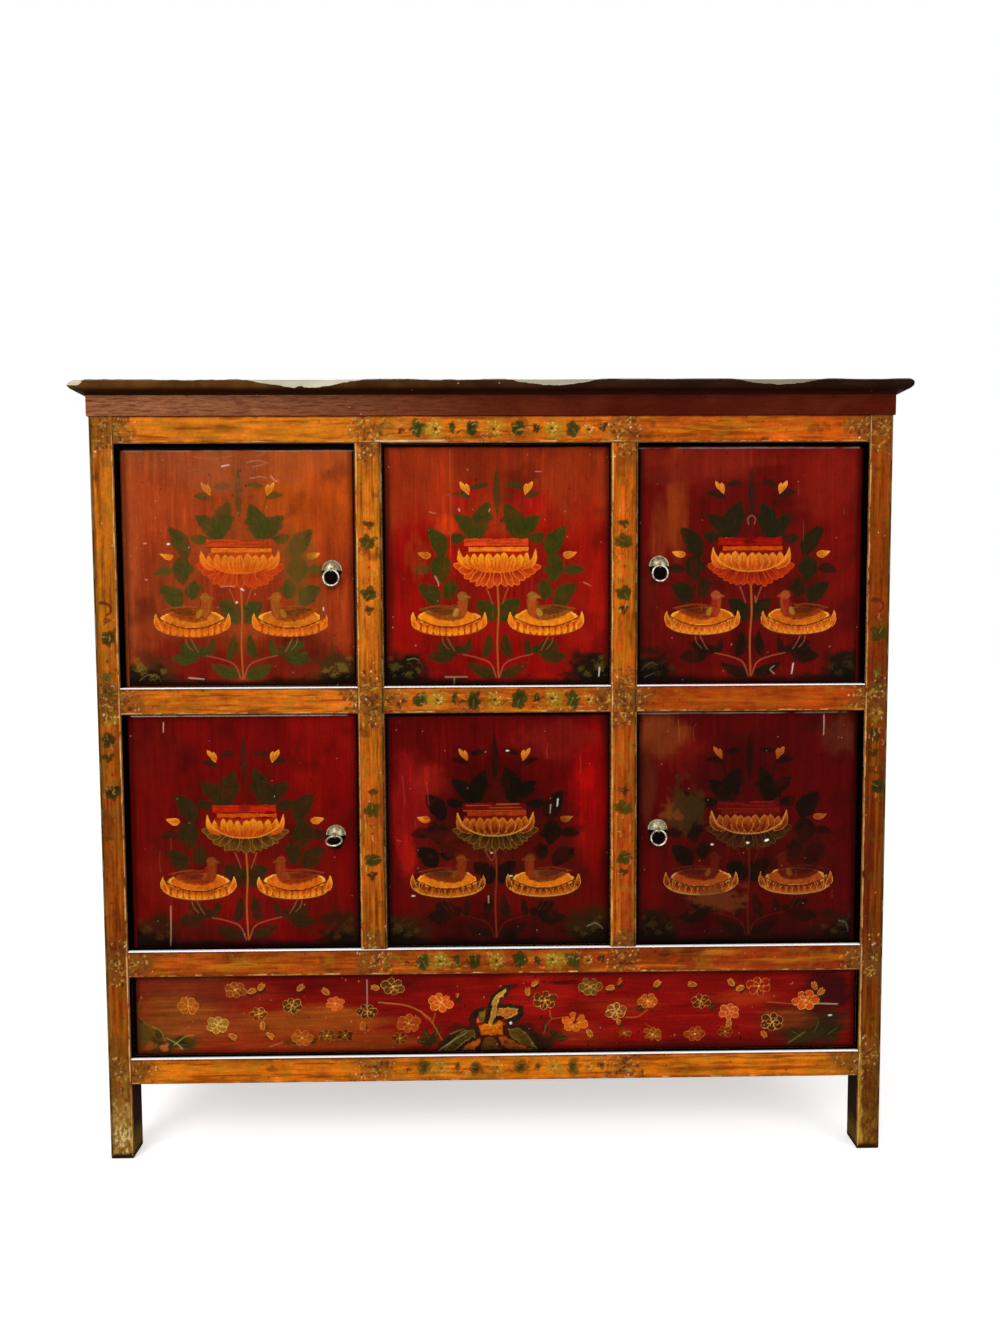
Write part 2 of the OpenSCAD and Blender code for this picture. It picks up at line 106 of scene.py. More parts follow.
def noise(u, v, seed):
    """Smooth noise of about -1 to 1: random heights on a lattice, joined by eased bilinear steps, in three octaves."""
    total, gain, whole = 0.0, 1.0, 0.0
    for octave in range(3):
        heights = np.random.default_rng(seed * 17 + octave).uniform(-1, 1, (LATTICE, LATTICE))
        i, j = np.floor(u).astype(int), np.floor(v).astype(int)
        a, b = (w * w * (3 - 2 * w) for w in (u - i, v - j))
        i, j, right, above = i % LATTICE, j % LATTICE, (i + 1) % LATTICE, (j + 1) % LATTICE
        low = heights[i, j] * (1 - a) + heights[right, j] * a
        high = heights[i, above] * (1 - a) + heights[right, above] * a
        total = total + gain * (low * (1 - b) + high * b)
        whole += gain
        u, v, gain = u * 2.03 + 11.7, v * 2.03 + 5.3, gain * 0.55
    return total / whole * 1.5


def step(low, high, value):
    """0 below low, 1 above high, and an eased slope between."""
    t = np.clip((value - low) / (high - low), 0, 1)
    return t * t * (3 - 2 * t)


def smooth_line(points, spacing=2.5):
    """Points along a Catmull-Rom curve through the given ones."""
    p = np.array(points, float)
    p = np.vstack([2 * p[0] - p[1], p, 2 * p[-1] - p[-2]])
    out = []
    for a, b, c, d in zip(p[:-3], p[1:-2], p[2:-1], p[3:]):
        n = max(2, int(np.hypot(*(c - b)) / spacing))
        t = np.linspace(0, 1, n, endpoint=False)[:, None]
        cubic = (2 * a - 5 * b + 4 * c - d) * t**2 + (3 * b - a - 3 * c + d) * t**3
        out.append(0.5 * (2 * b + (c - a) * t + cubic))
    return np.vstack([*out, p[-2:-1]])


# ---- the painter's canvas
class Canvas:
    """A painted face as arrays over a grid of points, in millimetres across (x) and up (z)."""

    def __init__(self, x0, x1, z0, z1, pitch, seed, ground):
        spans = ((x0, x1), (z0, z1))
        self.x, self.z = (np.linspace(low, high, int(round((high - low) / pitch)) + 1) for low, high in spans)
        self.X, self.Z = np.meshgrid(self.x, self.z)
        self.ground = np.ones(self.X.shape + (3,)) * tone(ground)
        self.paint = self.ground.copy()
        self.cover = np.full(self.X.shape, BARE)
        self.seed = seed
        self.rng = np.random.default_rng(seed)

    def noise(self, wide, tall, shift):
        return noise(self.X / wide + 31.3, self.Z / tall + 17.9, self.seed + shift)

    def weave(self, *layers):
        """Makes the ground lighter and darker by layers of noise: strength, width, height and seed's shift of each."""
        self.ground *= (1 + sum(strength * self.noise(*how) for strength, *how in layers))[..., None]

    def part(self, x0, x1, z0, z1, margin=4):
        """The grid's slice round a box, with its coordinates."""
        i = slice(*np.searchsorted(self.x, (x0 - margin, x1 + margin)))
        j = slice(*np.searchsorted(self.z, (z0 - margin, z1 + margin)))
        return (j, i), self.X[j, i], self.Z[j, i]

    def lay(self, at, depth, hue, alpha=1.0, soft=(-1.0, 1.0)):
        """Paints wherever depth, the distance in mm inside an outline, is above 0, and hides the paint below it.

        Below an alpha of 1 it is a stain, whose edge fades between the two depths of soft.
        """
        if alpha < 1:
            return self.tint(alpha * step(*soft, depth), hue, at)
        held = self.cover[at]
        share = np.where(held <= 0, depth > held, np.clip(0.5 + depth / 0.7, 0, 1))
        self.paint[at] = blend(self.paint[at], hue, share)
        self.cover[at] = np.maximum(held, depth)

    def tint(self, share, colour, at=..., both=True):
        """Mixes a colour into the ground, and into the motif too unless both is off."""
        share = np.clip(share, 0, 1)
        self.ground[at] = blend(self.ground[at], colour, share)
        if both:
            self.paint[at] = blend(self.paint[at], colour, share)

    def haze(self, x, z, rx, rz, colour, share=0.7, rough=0.5, both=False):
        """A soft-edged patch: an ellipse whose fading edge is warped by noise."""
        at, X, Z = self.part(x - 1.7 * rx, x + 1.7 * rx, z - 1.7 * rz, z + 1.7 * rz)
        if X.size:
            warp = rough * 0.5 * noise(X / (rx * 0.5), Z / (rz * 0.5), self.seed + int(x) % 50)
            self.tint(share * (1 - step(0.45, 1.15, np.hypot((X - x) / rx, (Z - z) / rz) + warp)), colour, at, both)

    def leaf(
        self, base, tip, half, colour, bend=0.0, belly=0.45, end=0.8,
        rim=None, rim_width=1.3, vein=None, glow=None, alpha=1.0, soft=1.4,
    ):
        """A leaf or petal: a line from base to tip, bowed by bend, with a half width of a sine that peaks at belly.

        Its ends are sharp at an end of 0.8 and blunt at 0.45. Brush marks run along it, and its colour turns to glow
        towards the tip. Below an alpha of 1 it is a stain with soft edges instead of a crisp shape.
        """
        (bx, bz), (tx, tz) = base, tip
        dx, dz, reach = tx - bx, tz - bz, half + abs(bend)
        length = math.hypot(dx, dz)
        at, X, Z = self.part(min(bx, tx) - reach, max(bx, tx) + reach, min(bz, tz) - reach, max(bz, tz) + reach)
        if not X.size:
            return
        s = ((X - bx) * dx + (Z - bz) * dz) / length**2
        t = np.clip(s, 0, 1)
        n = ((X - bx) * dz - (Z - bz) * dx) / length - bend * 4 * t * (1 - t)
        width = half * np.sin(np.pi * t ** (math.log(0.5) / math.log(belly))) ** end
        width = width * (1 + 0.16 * noise(X / 6.0, Z / 6.0, self.seed + 3))
        depth = np.where(s == t, width - np.abs(n), -np.hypot(n, (s - t) * length))
        marks = noise(n / 1.7 + bx, s * length / 11 + bz, self.seed + 5)
        hue = mottled(colour, 0.24 * marks + self.rng.uniform(-0.1, 0.1))
        if glow is not None:
            hue = blend(hue, glow, step(0.2, 1.0, t + 0.2 * marks))
        if vein is not None:
            hue = blend(hue, vein, 0.8 * (1 - step(0.3, 1.0, np.abs(n))) * (t < 0.85))
        if rim is not None:
            hue = blend(hue, rim, 1 - step(rim_width * 0.6, rim_width * 1.3, depth))
        self.lay(at, depth, hue, alpha, (-soft, soft * 0.8))

    def stroke(self, points, wide, narrow, colour, alpha=1.0):
        """A brush line through points, as wide as wide at its start and as narrow at its end."""
        line = smooth_line(points)
        lo, hi = line.min(0) - wide, line.max(0) + wide
        at, X, Z = self.part(lo[0], hi[0], lo[1], hi[1])
        if not X.size:
            return
        depth = np.full(X.shape, -99.0)
        for k, (a, b) in enumerate(zip(line[:-1], line[1:])):
            ab = b - a
            t = np.clip(((X - a[0]) * ab[0] + (Z - a[1]) * ab[1]) / max(ab @ ab, 1e-9), 0, 1)
            radius = (wide + (narrow - wide) * (k + t) / (len(line) - 1)) / 2
            depth = np.maximum(depth, radius - np.hypot(X - a[0] - t * ab[0], Z - a[1] - t * ab[1]))
        hue = tone(colour) if alpha < 1 else mottled(colour, 0.2 * noise(X / 4.0, Z / 4.0, self.seed + 9))
        self.lay(at, depth, hue, alpha, (-0.7, 0.7))

    def taper(self, points, wide, colour, alpha=1.0):
        """A brush line that narrows to 0.7 of its width."""
        self.stroke(points, wide, wide * 0.7, colour, alpha)

    def spot(self, x, z, rx, rz, colour, rough=0.12, rim=None):
        """A filled ellipse with a hand-drawn edge, and a rim of another colour if one is named."""
        reach = max(rx, rz) * (1 + rough)
        at, X, Z = self.part(x - reach, x + reach, z - reach, z + reach)
        if not X.size:
            return
        wobble = rough * noise(X / 4.0, Z / 4.0, self.seed + 12)
        depth = (1 - np.hypot((X - x) / rx, (Z - z) / rz) + wobble) * min(rx, rz)
        hue = mottled(colour, 0.25 * noise(X / 5.0, Z / 5.0, self.seed + 15))
        if rim is not None:
            hue = blend(hue, rim, 1 - step(0.7, 1.6, depth))
        self.lay(at, depth, hue)

    def band(self, x0, x1, bottom, top, low, high, colour):
        """Fills between two edges, low and high, each a height or a function of x that gives one."""
        at, X, Z = self.part(x0, x1, bottom, top)
        if X.size:
            low, high = (edge(X) if callable(edge) else edge for edge in (low, high))
            depth = np.minimum(np.minimum(Z - low, high - Z), np.minimum(X - x0, x1 - X))
            self.lay(at, depth, mottled(colour, 0.3 * noise(X / 7.0, Z / 2.5, self.seed + 21)))

    def shape(self, points, colour, rim=None, rough=1.2, alpha=1.0):
        """A filled outline through the given points, its edge a little ragged. Below an alpha of 1 it is a stain."""
        (x0, z0), (x1, z1) = np.min(points, axis=0), np.max(points, axis=0)
        at, X, Z = self.part(x0 - 2, x1 + 2, z0 - 2, z1 + 2)
        if not X.size:
            return
        inside, far = np.zeros(X.shape, bool), np.full(X.shape, 1e9)
        for (ax, az), (bx, bz) in zip(points, points[1:] + points[:1]):
            dx, dz = bx - ax, (bz - az) or 1e-6
            t = np.clip(((X - ax) * dx + (Z - az) * dz) / (dx * dx + dz * dz), 0, 1)
            far = np.minimum(far, np.hypot(X - ax - t * dx, Z - az - t * dz))
            inside ^= ((az > Z) != (bz > Z)) & (X < ax + (Z - az) * dx / dz)
        depth = np.where(inside, far, -far) + rough * noise(X / 4.0, Z / 4.0, self.seed + 31)
        marks = 0.5 * noise(X / 5.0, Z / 2.0, self.seed + 33) + 0.35 * noise(X / 1.6, Z / 1.4, self.seed + 35)
        hue = mottled(colour, -0.2 + 0.35 * (Z - z0) / (z1 - z0) + marks)
        if rim is not None:
            hue = blend(hue, rim, 1 - step(0.6, 1.6, depth))
        self.lay(at, depth, hue, alpha)

    def flecks(self, count, colour, size=0.8, share=0.8, area=None):
        """Chips and specks: small dabs at random places."""
        x0, x1, z0, z1 = area or (self.x[0], self.x[-1], self.z[0], self.z[-1])
        for _ in range(count):
            x, z = self.rng.uniform(x0, x1), self.rng.uniform(z0, z1)
            r = size * self.rng.uniform(0.6, 1.7)
            at, X, Z = self.part(x - r, x + r, z - r, z + r)
            if X.size:
                self.tint(share * (1 - step(0.5 * r, 1.2 * r, np.hypot(X - x, (Z - z) * 0.7))), colour, at)


# ---- meshes
def put_object(name, data):
    obj = bpy.data.objects.new(name, data)
    bpy.context.scene.collection.objects.link(obj)
    return obj


def put_mesh(name, points, faces, body, material):
    """A smooth mesh from whole arrays: points in metres, and faces as arrays of one polygon size each."""
    mesh = bpy.data.meshes.new(name)
    mesh.vertices.add(len(points))
    mesh.vertices.foreach_set("co", np.asarray(points, np.float32).ravel())
    corners = np.concatenate([some.ravel() for some in faces]).astype(np.int32)
    sides = np.concatenate([np.full(len(some), some.shape[1]) for some in faces])
    mesh.loops.add(len(corners))
    mesh.loops.foreach_set("vertex_index", corners)
    mesh.polygons.add(len(sides))
    mesh.polygons.foreach_set("loop_start", np.concatenate([[0], np.cumsum(sides)[:-1]]).astype(np.int32))
    mesh.update(calc_edges=True)
    mesh.polygons.foreach_set("use_smooth", np.full(len(sides), True))
    mesh.validate()
    mesh.materials.append(material)
    obj = put_object(name, mesh)
    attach(obj, body)
    return obj


def put_numbers(mesh, name, values):
    """One number for each point of a mesh, under a name that a shader can read."""
    mesh.attributes.new(name, "FLOAT", "POINT").data.foreach_set("value", values.astype(np.float32))


def grid_faces(index):
    """The quads of a grid of point numbers."""
    return np.stack([index[:-1, :-1], index[:-1, 1:], index[1:, 1:], index[1:, :-1]], -1).reshape(-1, 4)


def skin(name, canvas, face_y, body, material):
    """A painted face: the canvas's grid PROUD of the board, its border turned back into the board, and a fan behind."""
    n = canvas.X.size
    index = np.arange(n).reshape(canvas.X.shape)
    front = np.stack([canvas.X.ravel() * MM, np.full(n, face_y - PROUD * MM), canvas.Z.ravel() * MM], 1)
    ring = np.concatenate([index[0, :-1], index[:-1, -1], index[-1, :0:-1], index[:0:-1, 0]])
    sunk = [0, 2 * PROUD * MM, 0]
    m = len(ring)
    own = np.arange(m) + n
    after = np.roll(own, -1)
    walls = np.stack([ring, own, after, np.roll(ring, -1)], 1)
    fan = np.stack([own, np.full(m, n + m), after], 1)
    points = np.vstack([front, front[ring] + sunk, front.mean(0) + sunk])
    mesh = put_mesh(name, points, [grid_faces(index), walls, fan], body, material).data
    for label, values in (("ground", canvas.ground), ("paint", canvas.paint)):
        colour = np.ones((len(points), 4), np.float32)
        colour[:n, :3] = np.clip(values.reshape(-1, 3), 0.0008, 1)
        colour[n:, :3] = (0.02, 0.01, 0.006)
        mesh.color_attributes.new(label, "FLOAT_COLOR", "POINT").data.foreach_set("color", colour.ravel())
    put_numbers(mesh, "cover", np.append(np.clip(canvas.cover, BARE, -BARE).ravel(), np.full(m + 1, BARE)))


# ---- shader building
class Tree:
    """Short calls for a node tree: each adds a node and gives its first output, unless it says otherwise."""

    def __init__(self, tree):
        self.tree = tree

    def node(self, kind, inputs=None, **settings):
        """The new node itself. An input is a socket to link, or a number, a vector or a '#rrggbb' colour to set."""
        made = self.tree.nodes.new("ShaderNode" + kind)
        for key, value in settings.items():
            setattr(made, key, value)
        for key, value in (inputs or {}).items():
            if isinstance(value, bpy.types.NodeSocket):
                self.tree.links.new(value, made.inputs[key])
            else:
                made.inputs[key].default_value = rgba(value) if isinstance(value, str) else value
        return made

    def math(self, operation, a, b=0.0, clamp=False):
        return self.node("Math", {0: a, 1: b}, operation=operation, use_clamp=clamp).outputs[0]

    def add(self, a, b, *more, clamp=False):
        """The sum of all its terms, held between 0 and 1 if clamp is set."""
        total = self.math("ADD", a, b, clamp=clamp and not more)
        return self.add(total, *more, clamp=clamp) if more else total

    def times(self, a, b, *more):
        """The product of all its terms."""
        product = self.math("MULTIPLY", a, b)
        return self.times(product, *more) if more else product

    def minus(self, a, b):
        return self.math("SUBTRACT", a, b)

    def size(self, value):
        return self.math("ABSOLUTE", value)

    def vector(self, operation, a, b=(0, 0, 0)):
        made = self.node("VectorMath", {0: a, 1: b}, operation=operation)
        return made.outputs["Value" if operation == "LENGTH" else "Vector"]

    def scaled(self, vector, factor):
        return self.node("VectorMath", {0: vector, "Scale": factor}, operation="SCALE").outputs[0]

    def split(self, vector):
        """The vector's three outputs."""
        return self.node("SeparateXYZ", {0: vector}).outputs

    def mix(self, factor, a, b):
        return self.node("Mix", {0: factor, 6: a, 7: b}, data_type="RGBA", clamp_factor=True).outputs[2]

    def slope(self, value, low, high, out_low=0.0, out_high=1.0):
        """The value's place between low and high, eased, as a number from out_low to out_high."""
        inputs = {0: value, 1: low, 2: high, 3: out_low, 4: out_high}
        return self.node("MapRange", inputs, interpolation_type="SMOOTHSTEP").outputs[0]

    def grain(self, coordinates, scale, detail=3.0, rough=0.6, warp=0.0):
        """Noise centred on 0, from about -0.5 to 0.5."""
        inputs = {"Vector": coordinates, "Scale": scale, "Detail": detail, "Roughness": rough, "Distortion": warp}
        return self.minus(self.node("TexNoise", inputs).outputs[0], 0.5)

    def attribute(self, name, output="Color"):
        return self.node("Attribute", attribute_name=name).outputs[output]

    def group(self, tree, **inputs):
        """All outputs of a shader group placed with its own values."""
        return self.node("Group", inputs, node_tree=tree).outputs


def new_group(name, **inputs):
    """An empty shader group: itself, its builder, its inputs by name, and a function that links an output of a name.

    An input's default tells its kind: a colour code, a number or a vector, and None for a position. The outputs are
    Colour, Roughness and Height, and a Mask.
    """
    group = bpy.data.node_groups.new(name, "ShaderNodeTree")
    for label, default in inputs.items():
        kind = {str: "Color", float: "Float"}.get(type(default), "Vector")
        socket = group.interface.new_socket(label, in_out="INPUT", socket_type="NodeSocket" + kind)
        if default is not None:
            socket.default_value = rgba(default) if kind == "Color" else default
    entry, leave = group.nodes.new("NodeGroupInput"), group.nodes.new("NodeGroupOutput")

    def give(label, value):
        kind = "Color" if label == "Colour" else "Float"
        group.interface.new_socket(label, in_out="OUTPUT", socket_type="NodeSocket" + kind)
        group.links.new(value, leave.inputs[label])

    return group, Tree(group), entry.outputs, give


def aged_surface():
    """Old lacquer: mottled and streaked colour, fine cracks, pale specks and dust, with its roughness and relief."""
    group, b, given, give = new_group(
        "aged_surface", Colour="#802010", Position=None, Streaks=(900, 900, 90),
        Mottle=0.5, Specks=0.3, Crackle=0.4, Gloss=0.5,
    )
    p = given["Position"]
    streak = b.grain(b.vector("MULTIPLY", p, given["Streaks"]), 1.0, 4.0, 0.65, 0.3)
    cloud = b.grain(p, 26.0, 5.0, 0.65, 0.4)
    fine = b.grain(p, 420.0, 3.0, 0.7)
    tonal = b.add(streak, b.times(cloud, 0.9), b.times(fine, 0.55))
    surface = b.scaled(given["Colour"], b.add(1.0, b.times(tonal, given["Mottle"], 2.0)))
    # cracks, where a warped cell pattern has its edges
    warp = b.scaled(b.node("TexNoise", {"Vector": p, "Scale": 90.0, "Detail": 2.0}).outputs["Color"], 0.006)
    cracks = b.node("TexVoronoi", {"Vector": b.vector("ADD", p, warp), "Scale": 150.0}, feature="DISTANCE_TO_EDGE")
    crack = b.slope(cracks.outputs["Distance"], 0.0, 0.07, 1.0, 0.0)
    crazed = b.times(crack, b.slope(cloud, -0.05, 0.2), given["Crackle"])
    surface = b.mix(b.times(crazed, 0.45), surface, "#120502")
    # specks, in a few cells of a finer pattern
    cells = b.node("TexVoronoi", {"Vector": p, "Scale": 130.0}).outputs
    chosen = b.math("GREATER_THAN", b.node("SeparateColor", {0: cells["Color"]}).outputs[0], 0.965)
    fleck = b.times(b.slope(cells["Distance"], 0.1, 0.17, 1.0, 0.0), chosen, given["Specks"])
    surface = b.mix(fleck, surface, "#d9a58a")
    dust = b.times(b.slope(b.add(cloud, b.times(fine, 0.8)), 0.08, 0.4), given["Specks"])
    give("Colour", b.mix(b.times(dust, 0.06), surface, "#8a4a24"))
    polish = b.minus(0.95, b.times(given["Gloss"], 0.75))
    give("Roughness", b.add(polish, b.times(tonal, 0.25), b.times(dust, 0.2), clamp=True))
    give("Height", b.add(b.times(streak, 0.5), b.times(fine, 0.35), b.times(crazed, -0.6)))
    return group


def edge_rub():
    """Where a board is rubbed along its edges: near two faces of its box at once, broken up by noise."""
    group, b, given, give = new_group(
        "edge_rub", Position=None, Low=(0, 0, 0), High=(1, 1, 1), Width=0.003, Uneven=0.8
    )
    p = given["Position"]
    inside = b.vector("MINIMUM", b.vector("SUBTRACT", p, given["Low"]), b.vector("SUBTRACT", given["High"], p))
    x, y, z = b.split(b.vector("MAXIMUM", inside, (0, 0, 0)))
    near = b.math("MINIMUM", b.add(x, y), b.math("MINIMUM", b.add(y, z), b.add(x, z)))
    patchy = b.add(b.grain(p, 45.0, 4.0, 0.7), b.times(b.grain(p, 600.0, 2.0), 0.4))
    edge = b.math("DIVIDE", near, given["Width"])
    give("Mask", b.slope(b.minus(edge, b.times(patchy, given["Uneven"], 4.0)), 0.4, 1.2, 1.0, 0.0))
    return group


def wood_grain():
    """Bare softwood: growth rings as contour lines of a stretched noise, with fibres along them and old dirt."""
    group, b, given, give = new_group(
        "wood_grain", Position=None, Squeeze=(1, 1, 0.06), Pale="#a07a4c", Dark="#5a3a1e", Dirt=0.5
    )
    p = b.vector("MULTIPLY", given["Position"], given["Squeeze"])
    bands = b.slope(b.math("SINE", b.times(b.grain(p, 4.5, 2.0, 0.45, 0.4), 170.0)), -1.0, 1.0)
    fibre = b.grain(p, 420.0, 3.0, 0.7)
    dirt = b.grain(given["Position"], 9.0, 5.0, 0.7)
    wood = b.mix(b.add(0.12, b.times(bands, 0.42), fibre, clamp=True), given["Pale"], given["Dark"])
    give("Colour", b.mix(b.times(b.slope(dirt, -0.1, 0.35), given["Dirt"]), wood, "#2a1a0e"))
    give("Roughness", b.add(0.72, b.times(fibre, 0.3), clamp=True))
    give("Height", b.add(b.times(fibre, 0.6), b.times(bands, -0.12)))
    return group


def tarnish():
    """Old brass: brown tarnish, black grease in the hollows, painted light high up, and painted shade, black, low down.

    Its Mask is 1 where the metal lies bare of grease and painted shade.
    """
    group, b, given, give = new_group("tarnish", Position=None, Metal="#b08c4a", Grease=0.0)
    patch = b.grain(given["Position"], 190.0, 4.0, 0.7, 0.4)
    fine = b.grain(given["Position"], 900.0, 3.0, 0.7)
    soiled = b.slope(b.add(patch, b.times(fine, 0.4), given["Grease"]), 0.0, 0.45)
    browned = b.mix(b.slope(patch, -0.2, 0.25), given["Metal"], "#5c4420")
    give("Colour", b.mix(soiled, browned, "#0d0a07"))
    give("Roughness", b.add(0.42, b.times(soiled, 0.35), b.times(fine, 0.2), clamp=True))
    give("Height", b.add(b.times(patch, 0.6), b.times(fine, 0.3)))
    give("Mask", b.minus(1.0, soiled))
    return group


AGED, RUBBED, WOOD, TARNISH = aged_surface(), edge_rub(), wood_grain(), tarnish()


def new_material(name, specular=0.02):
    """A material with an empty Principled shader: itself, its tree, its position socket and its shader."""
    material = bpy.data.materials.new(name)
    material.use_nodes = True
    shader = material.node_tree.nodes["Principled BSDF"]
    shader.inputs["Specular IOR Level"].default_value = specular
    b = Tree(material.node_tree)
    return material, b, b.node("TexCoord").outputs["Object"], shader


def finish_material(b, shader, colour, roughness, height, depth, strength):
    """Links a surface to its shader: colour, roughness, and height as a bump of a depth in metres."""
    bump = b.node("Bump", {"Height": height, "Strength": strength, "Distance": depth})
    for label, value in (("Base Color", colour), ("Roughness", roughness), ("Normal", bump.outputs[0])):
        b.tree.links.new(value, shader.inputs[label])


def painted_skin(name, streaks, mottle, specks, crackle, gloss, erode):
    """The skins' material: ground and motif mixed by the motif's depth, its outline broken by noise, and then aged."""
    material, b, p, shader = new_material(name)
    ragged = b.add(b.grain(p, 520.0, 3.0, 0.7), b.times(b.grain(p, 70.0, 4.0, 0.7), erode))
    inside = b.slope(b.add(b.attribute("cover", "Fac"), ragged), -0.25, 0.25)
    colour = b.mix(inside, b.attribute("ground"), b.attribute("paint"))
    worn = b.group(
        AGED, Colour=colour, Position=p, Streaks=streaks, Mottle=mottle, Specks=specks, Crackle=crackle, Gloss=gloss
    )
    raised = b.add(worn["Height"], b.times(inside, 0.35))
    finish_material(b, shader, worn["Colour"], worn["Roughness"], raised, 0.0004, 0.5)
    return material


PANEL_PAINT = painted_skin("painted_panel", (420, 420, 26), 0.3, 0.2, 0.5, 0.62, 1.2)
APRON_PAINT = painted_skin("painted_apron", (26, 420, 420), 0.3, 0.2, 0.5, 0.62, 1.2)
FRAME_ACROSS = painted_skin("ochre_across", (34, 420, 420), 0.44, 0.12, 0.55, 0.5, 2.0)
FRAME_UP = painted_skin("ochre_upright", (420, 420, 34), 0.44, 0.12, 0.55, 0.5, 2.0)


# ---- the lotus panels
def place(cx, cz, m=1):
    """A motif's own coordinates: x is turned round by an m of -1, and the origin lies at cx and cz."""
    return lambda x, z: (cx + m * x, cz + z)


def spread(count, low=-1, high=1):
    return np.linspace(low, high, count)


def alternate(count):
    """Shares from -1 to 1, every second one first, so that the others lie over them."""
    t = spread(count)
    return np.concatenate([t[::2], t[1::2]])


def cup_petals(c, cx, cz, look):
    """The big lotus: a fringe of hanging petals, a tray of two bands, and a bowl of nine petals between curled tips."""
    at = place(cx, cz)
    for t in alternate(15):
        tip = at(60 * np.sign(t) * abs(t) ** 0.85, 134.5 + 30 * abs(t) ** 2.4 + c.rng.uniform(-2.5, 2))
        c.leaf(
            at(34 * t, 163 + 4 * t**2), tip, c.rng.uniform(4.6, 7.0), look.fringe_dark,
            3 * t, 0.62, 0.55, look.fringe_rim, 0.95, glow=look.fringe,
        )

    def bowl(x):
        return cz + 154.8 + 17 * (np.abs(x - cx) / 47) ** 2.6

    def brim(height, sway, length, seed):
        return lambda x: cz + height + sway * noise(x / length, x * 0, seed)

    c.band(cx - 45, cx + 42.5, cz + 188, cz + 203, cz + 190.9, brim(200.6, 1.1, 7, 5), look.tray_dark)
    c.band(cx - 39, cx + 43, cz + 180, cz + 191, cz + 183.6, brim(189.2, 0.5, 5, 9), look.tray_light)
    c.haze(*at(look.break_at, 196), 9, 6, look.tray_line, look.broken, 1.0, both=True)
    for x0, x1, z, wide in ((-44, 42, 190.2, 1.2), (-40, -6, 197.6, 1.0), (2, 33, 199.2, 1.6), (-8, 36, 194.4, 1.0)):
        c.taper([at(x0, z), at(x1, z + c.rng.uniform(-0.5, 0.5))], wide, look.tray_line, 0.8)
    c.band(cx - 44, cx + 44, cz + 150, cz + 184, bowl, cz + 183.2, look.gap)
    c.band(cx - 45, cx + 45, cz + 150, cz + 175, lambda x: bowl(x) - 0.4, cz + 171, look.petal)
    for m in (-1, 1):
        c.leaf(
            at(34 * m, 158.5), at(52.5 * m, 187), 5.2, look.petal,
            6 * m, rim=look.petal_line, rim_width=0.6, glow=look.petal_tip,
        )
    for i in (4, 3, 2, 1, 0):
        for m in (-1, 1) if i else (1,):
            k = m * i + c.rng.uniform(-0.16, 0.16)
            x = cx + 8.2 * k
            tip = at(10.6 * k, 181.5 + c.rng.uniform(-2.5, 0.8))
            c.leaf(
                (x, bowl(x) + 0.6), tip, 7.4 - 0.45 * i, look.petal,
                0.8 * k, 0.52, look.blunt, look.petal_line, 0.7, glow=look.petal_tip,
            )
            for side in (-1, 1):
                middle = ((x + tip[0]) / 2 + 2.6 * side, cz + 170)
                crease = [(x + 1.8 * side, bowl(x) + 6), middle, (tip[0] + 1.2 * side, tip[1] - 5)]
                c.stroke(crease, 1.6, 0.8, look.petal_deep, 0.6)
    line = [(x, bowl(x) + 0.2) for x in cx + 47 * spread(13)]
    c.stroke([at(-52.5, 187), *line, at(52.5, 187)], 1.1, 1.1, look.petal_rim, look.outline)


DUCK = (
    (-40, 105), (-22, 109.5), (2, 109), (10, 112), (13.5, 118), (14, 124), (23, 124), (24.5, 114), (25.5, 101),
    (19, 92), (5, 88.5), (-14, 91), (-28, 97),
)


def duck(c, cx, cz, m, look, turned):
    """A duck afloat, in thin faded paint: its body hides the far part of the disc. The head looks in, or back."""
    at = place(cx, cz, m)
    to = -1 if turned else 1
    c.shape([at(*point) for point in DUCK], look.duck_body, alpha=0.88)
    c.leaf(at(8, 102), at(-31, 107), 4.8, look.duck_wing, -2 * m, 0.4, alpha=0.6)
    c.stroke([at(-40, 105), at(-14, 110), at(6, 109)], 1.2, 0.8, look.duck_rim, 0.5)
    c.stroke([at(-28, 98), at(-8, 92), at(12, 91)], 1.0, 0.7, look.duck_rim, 0.35)
    c.leaf(at(19, 93), at(17, 125), 5.2, look.duck_neck, 0, 0.4, 0.6, alpha=0.7)
    c.stroke([at(24, 117), at(23, 106), at(18, 96)], 4.5, 2.6, look.duck_head, 0.6)
    c.leaf(at(18.5 - 6.8 * to, 123), at(18.5 + 6.5 * to, 122.5), 6.0, look.duck_head, 0, 0.5, 0.5, alpha=0.9)
    c.leaf(at(18.5 + 3 * to, 122.5), at(18.5 + 12 * to, 120.5), 2.0, look.duck_head, 0, 0.3, alpha=0.85)
    c.leaf(at(7, 95), at(12, 106), 3.4, look.duck_breast, end=0.5, alpha=0.75)


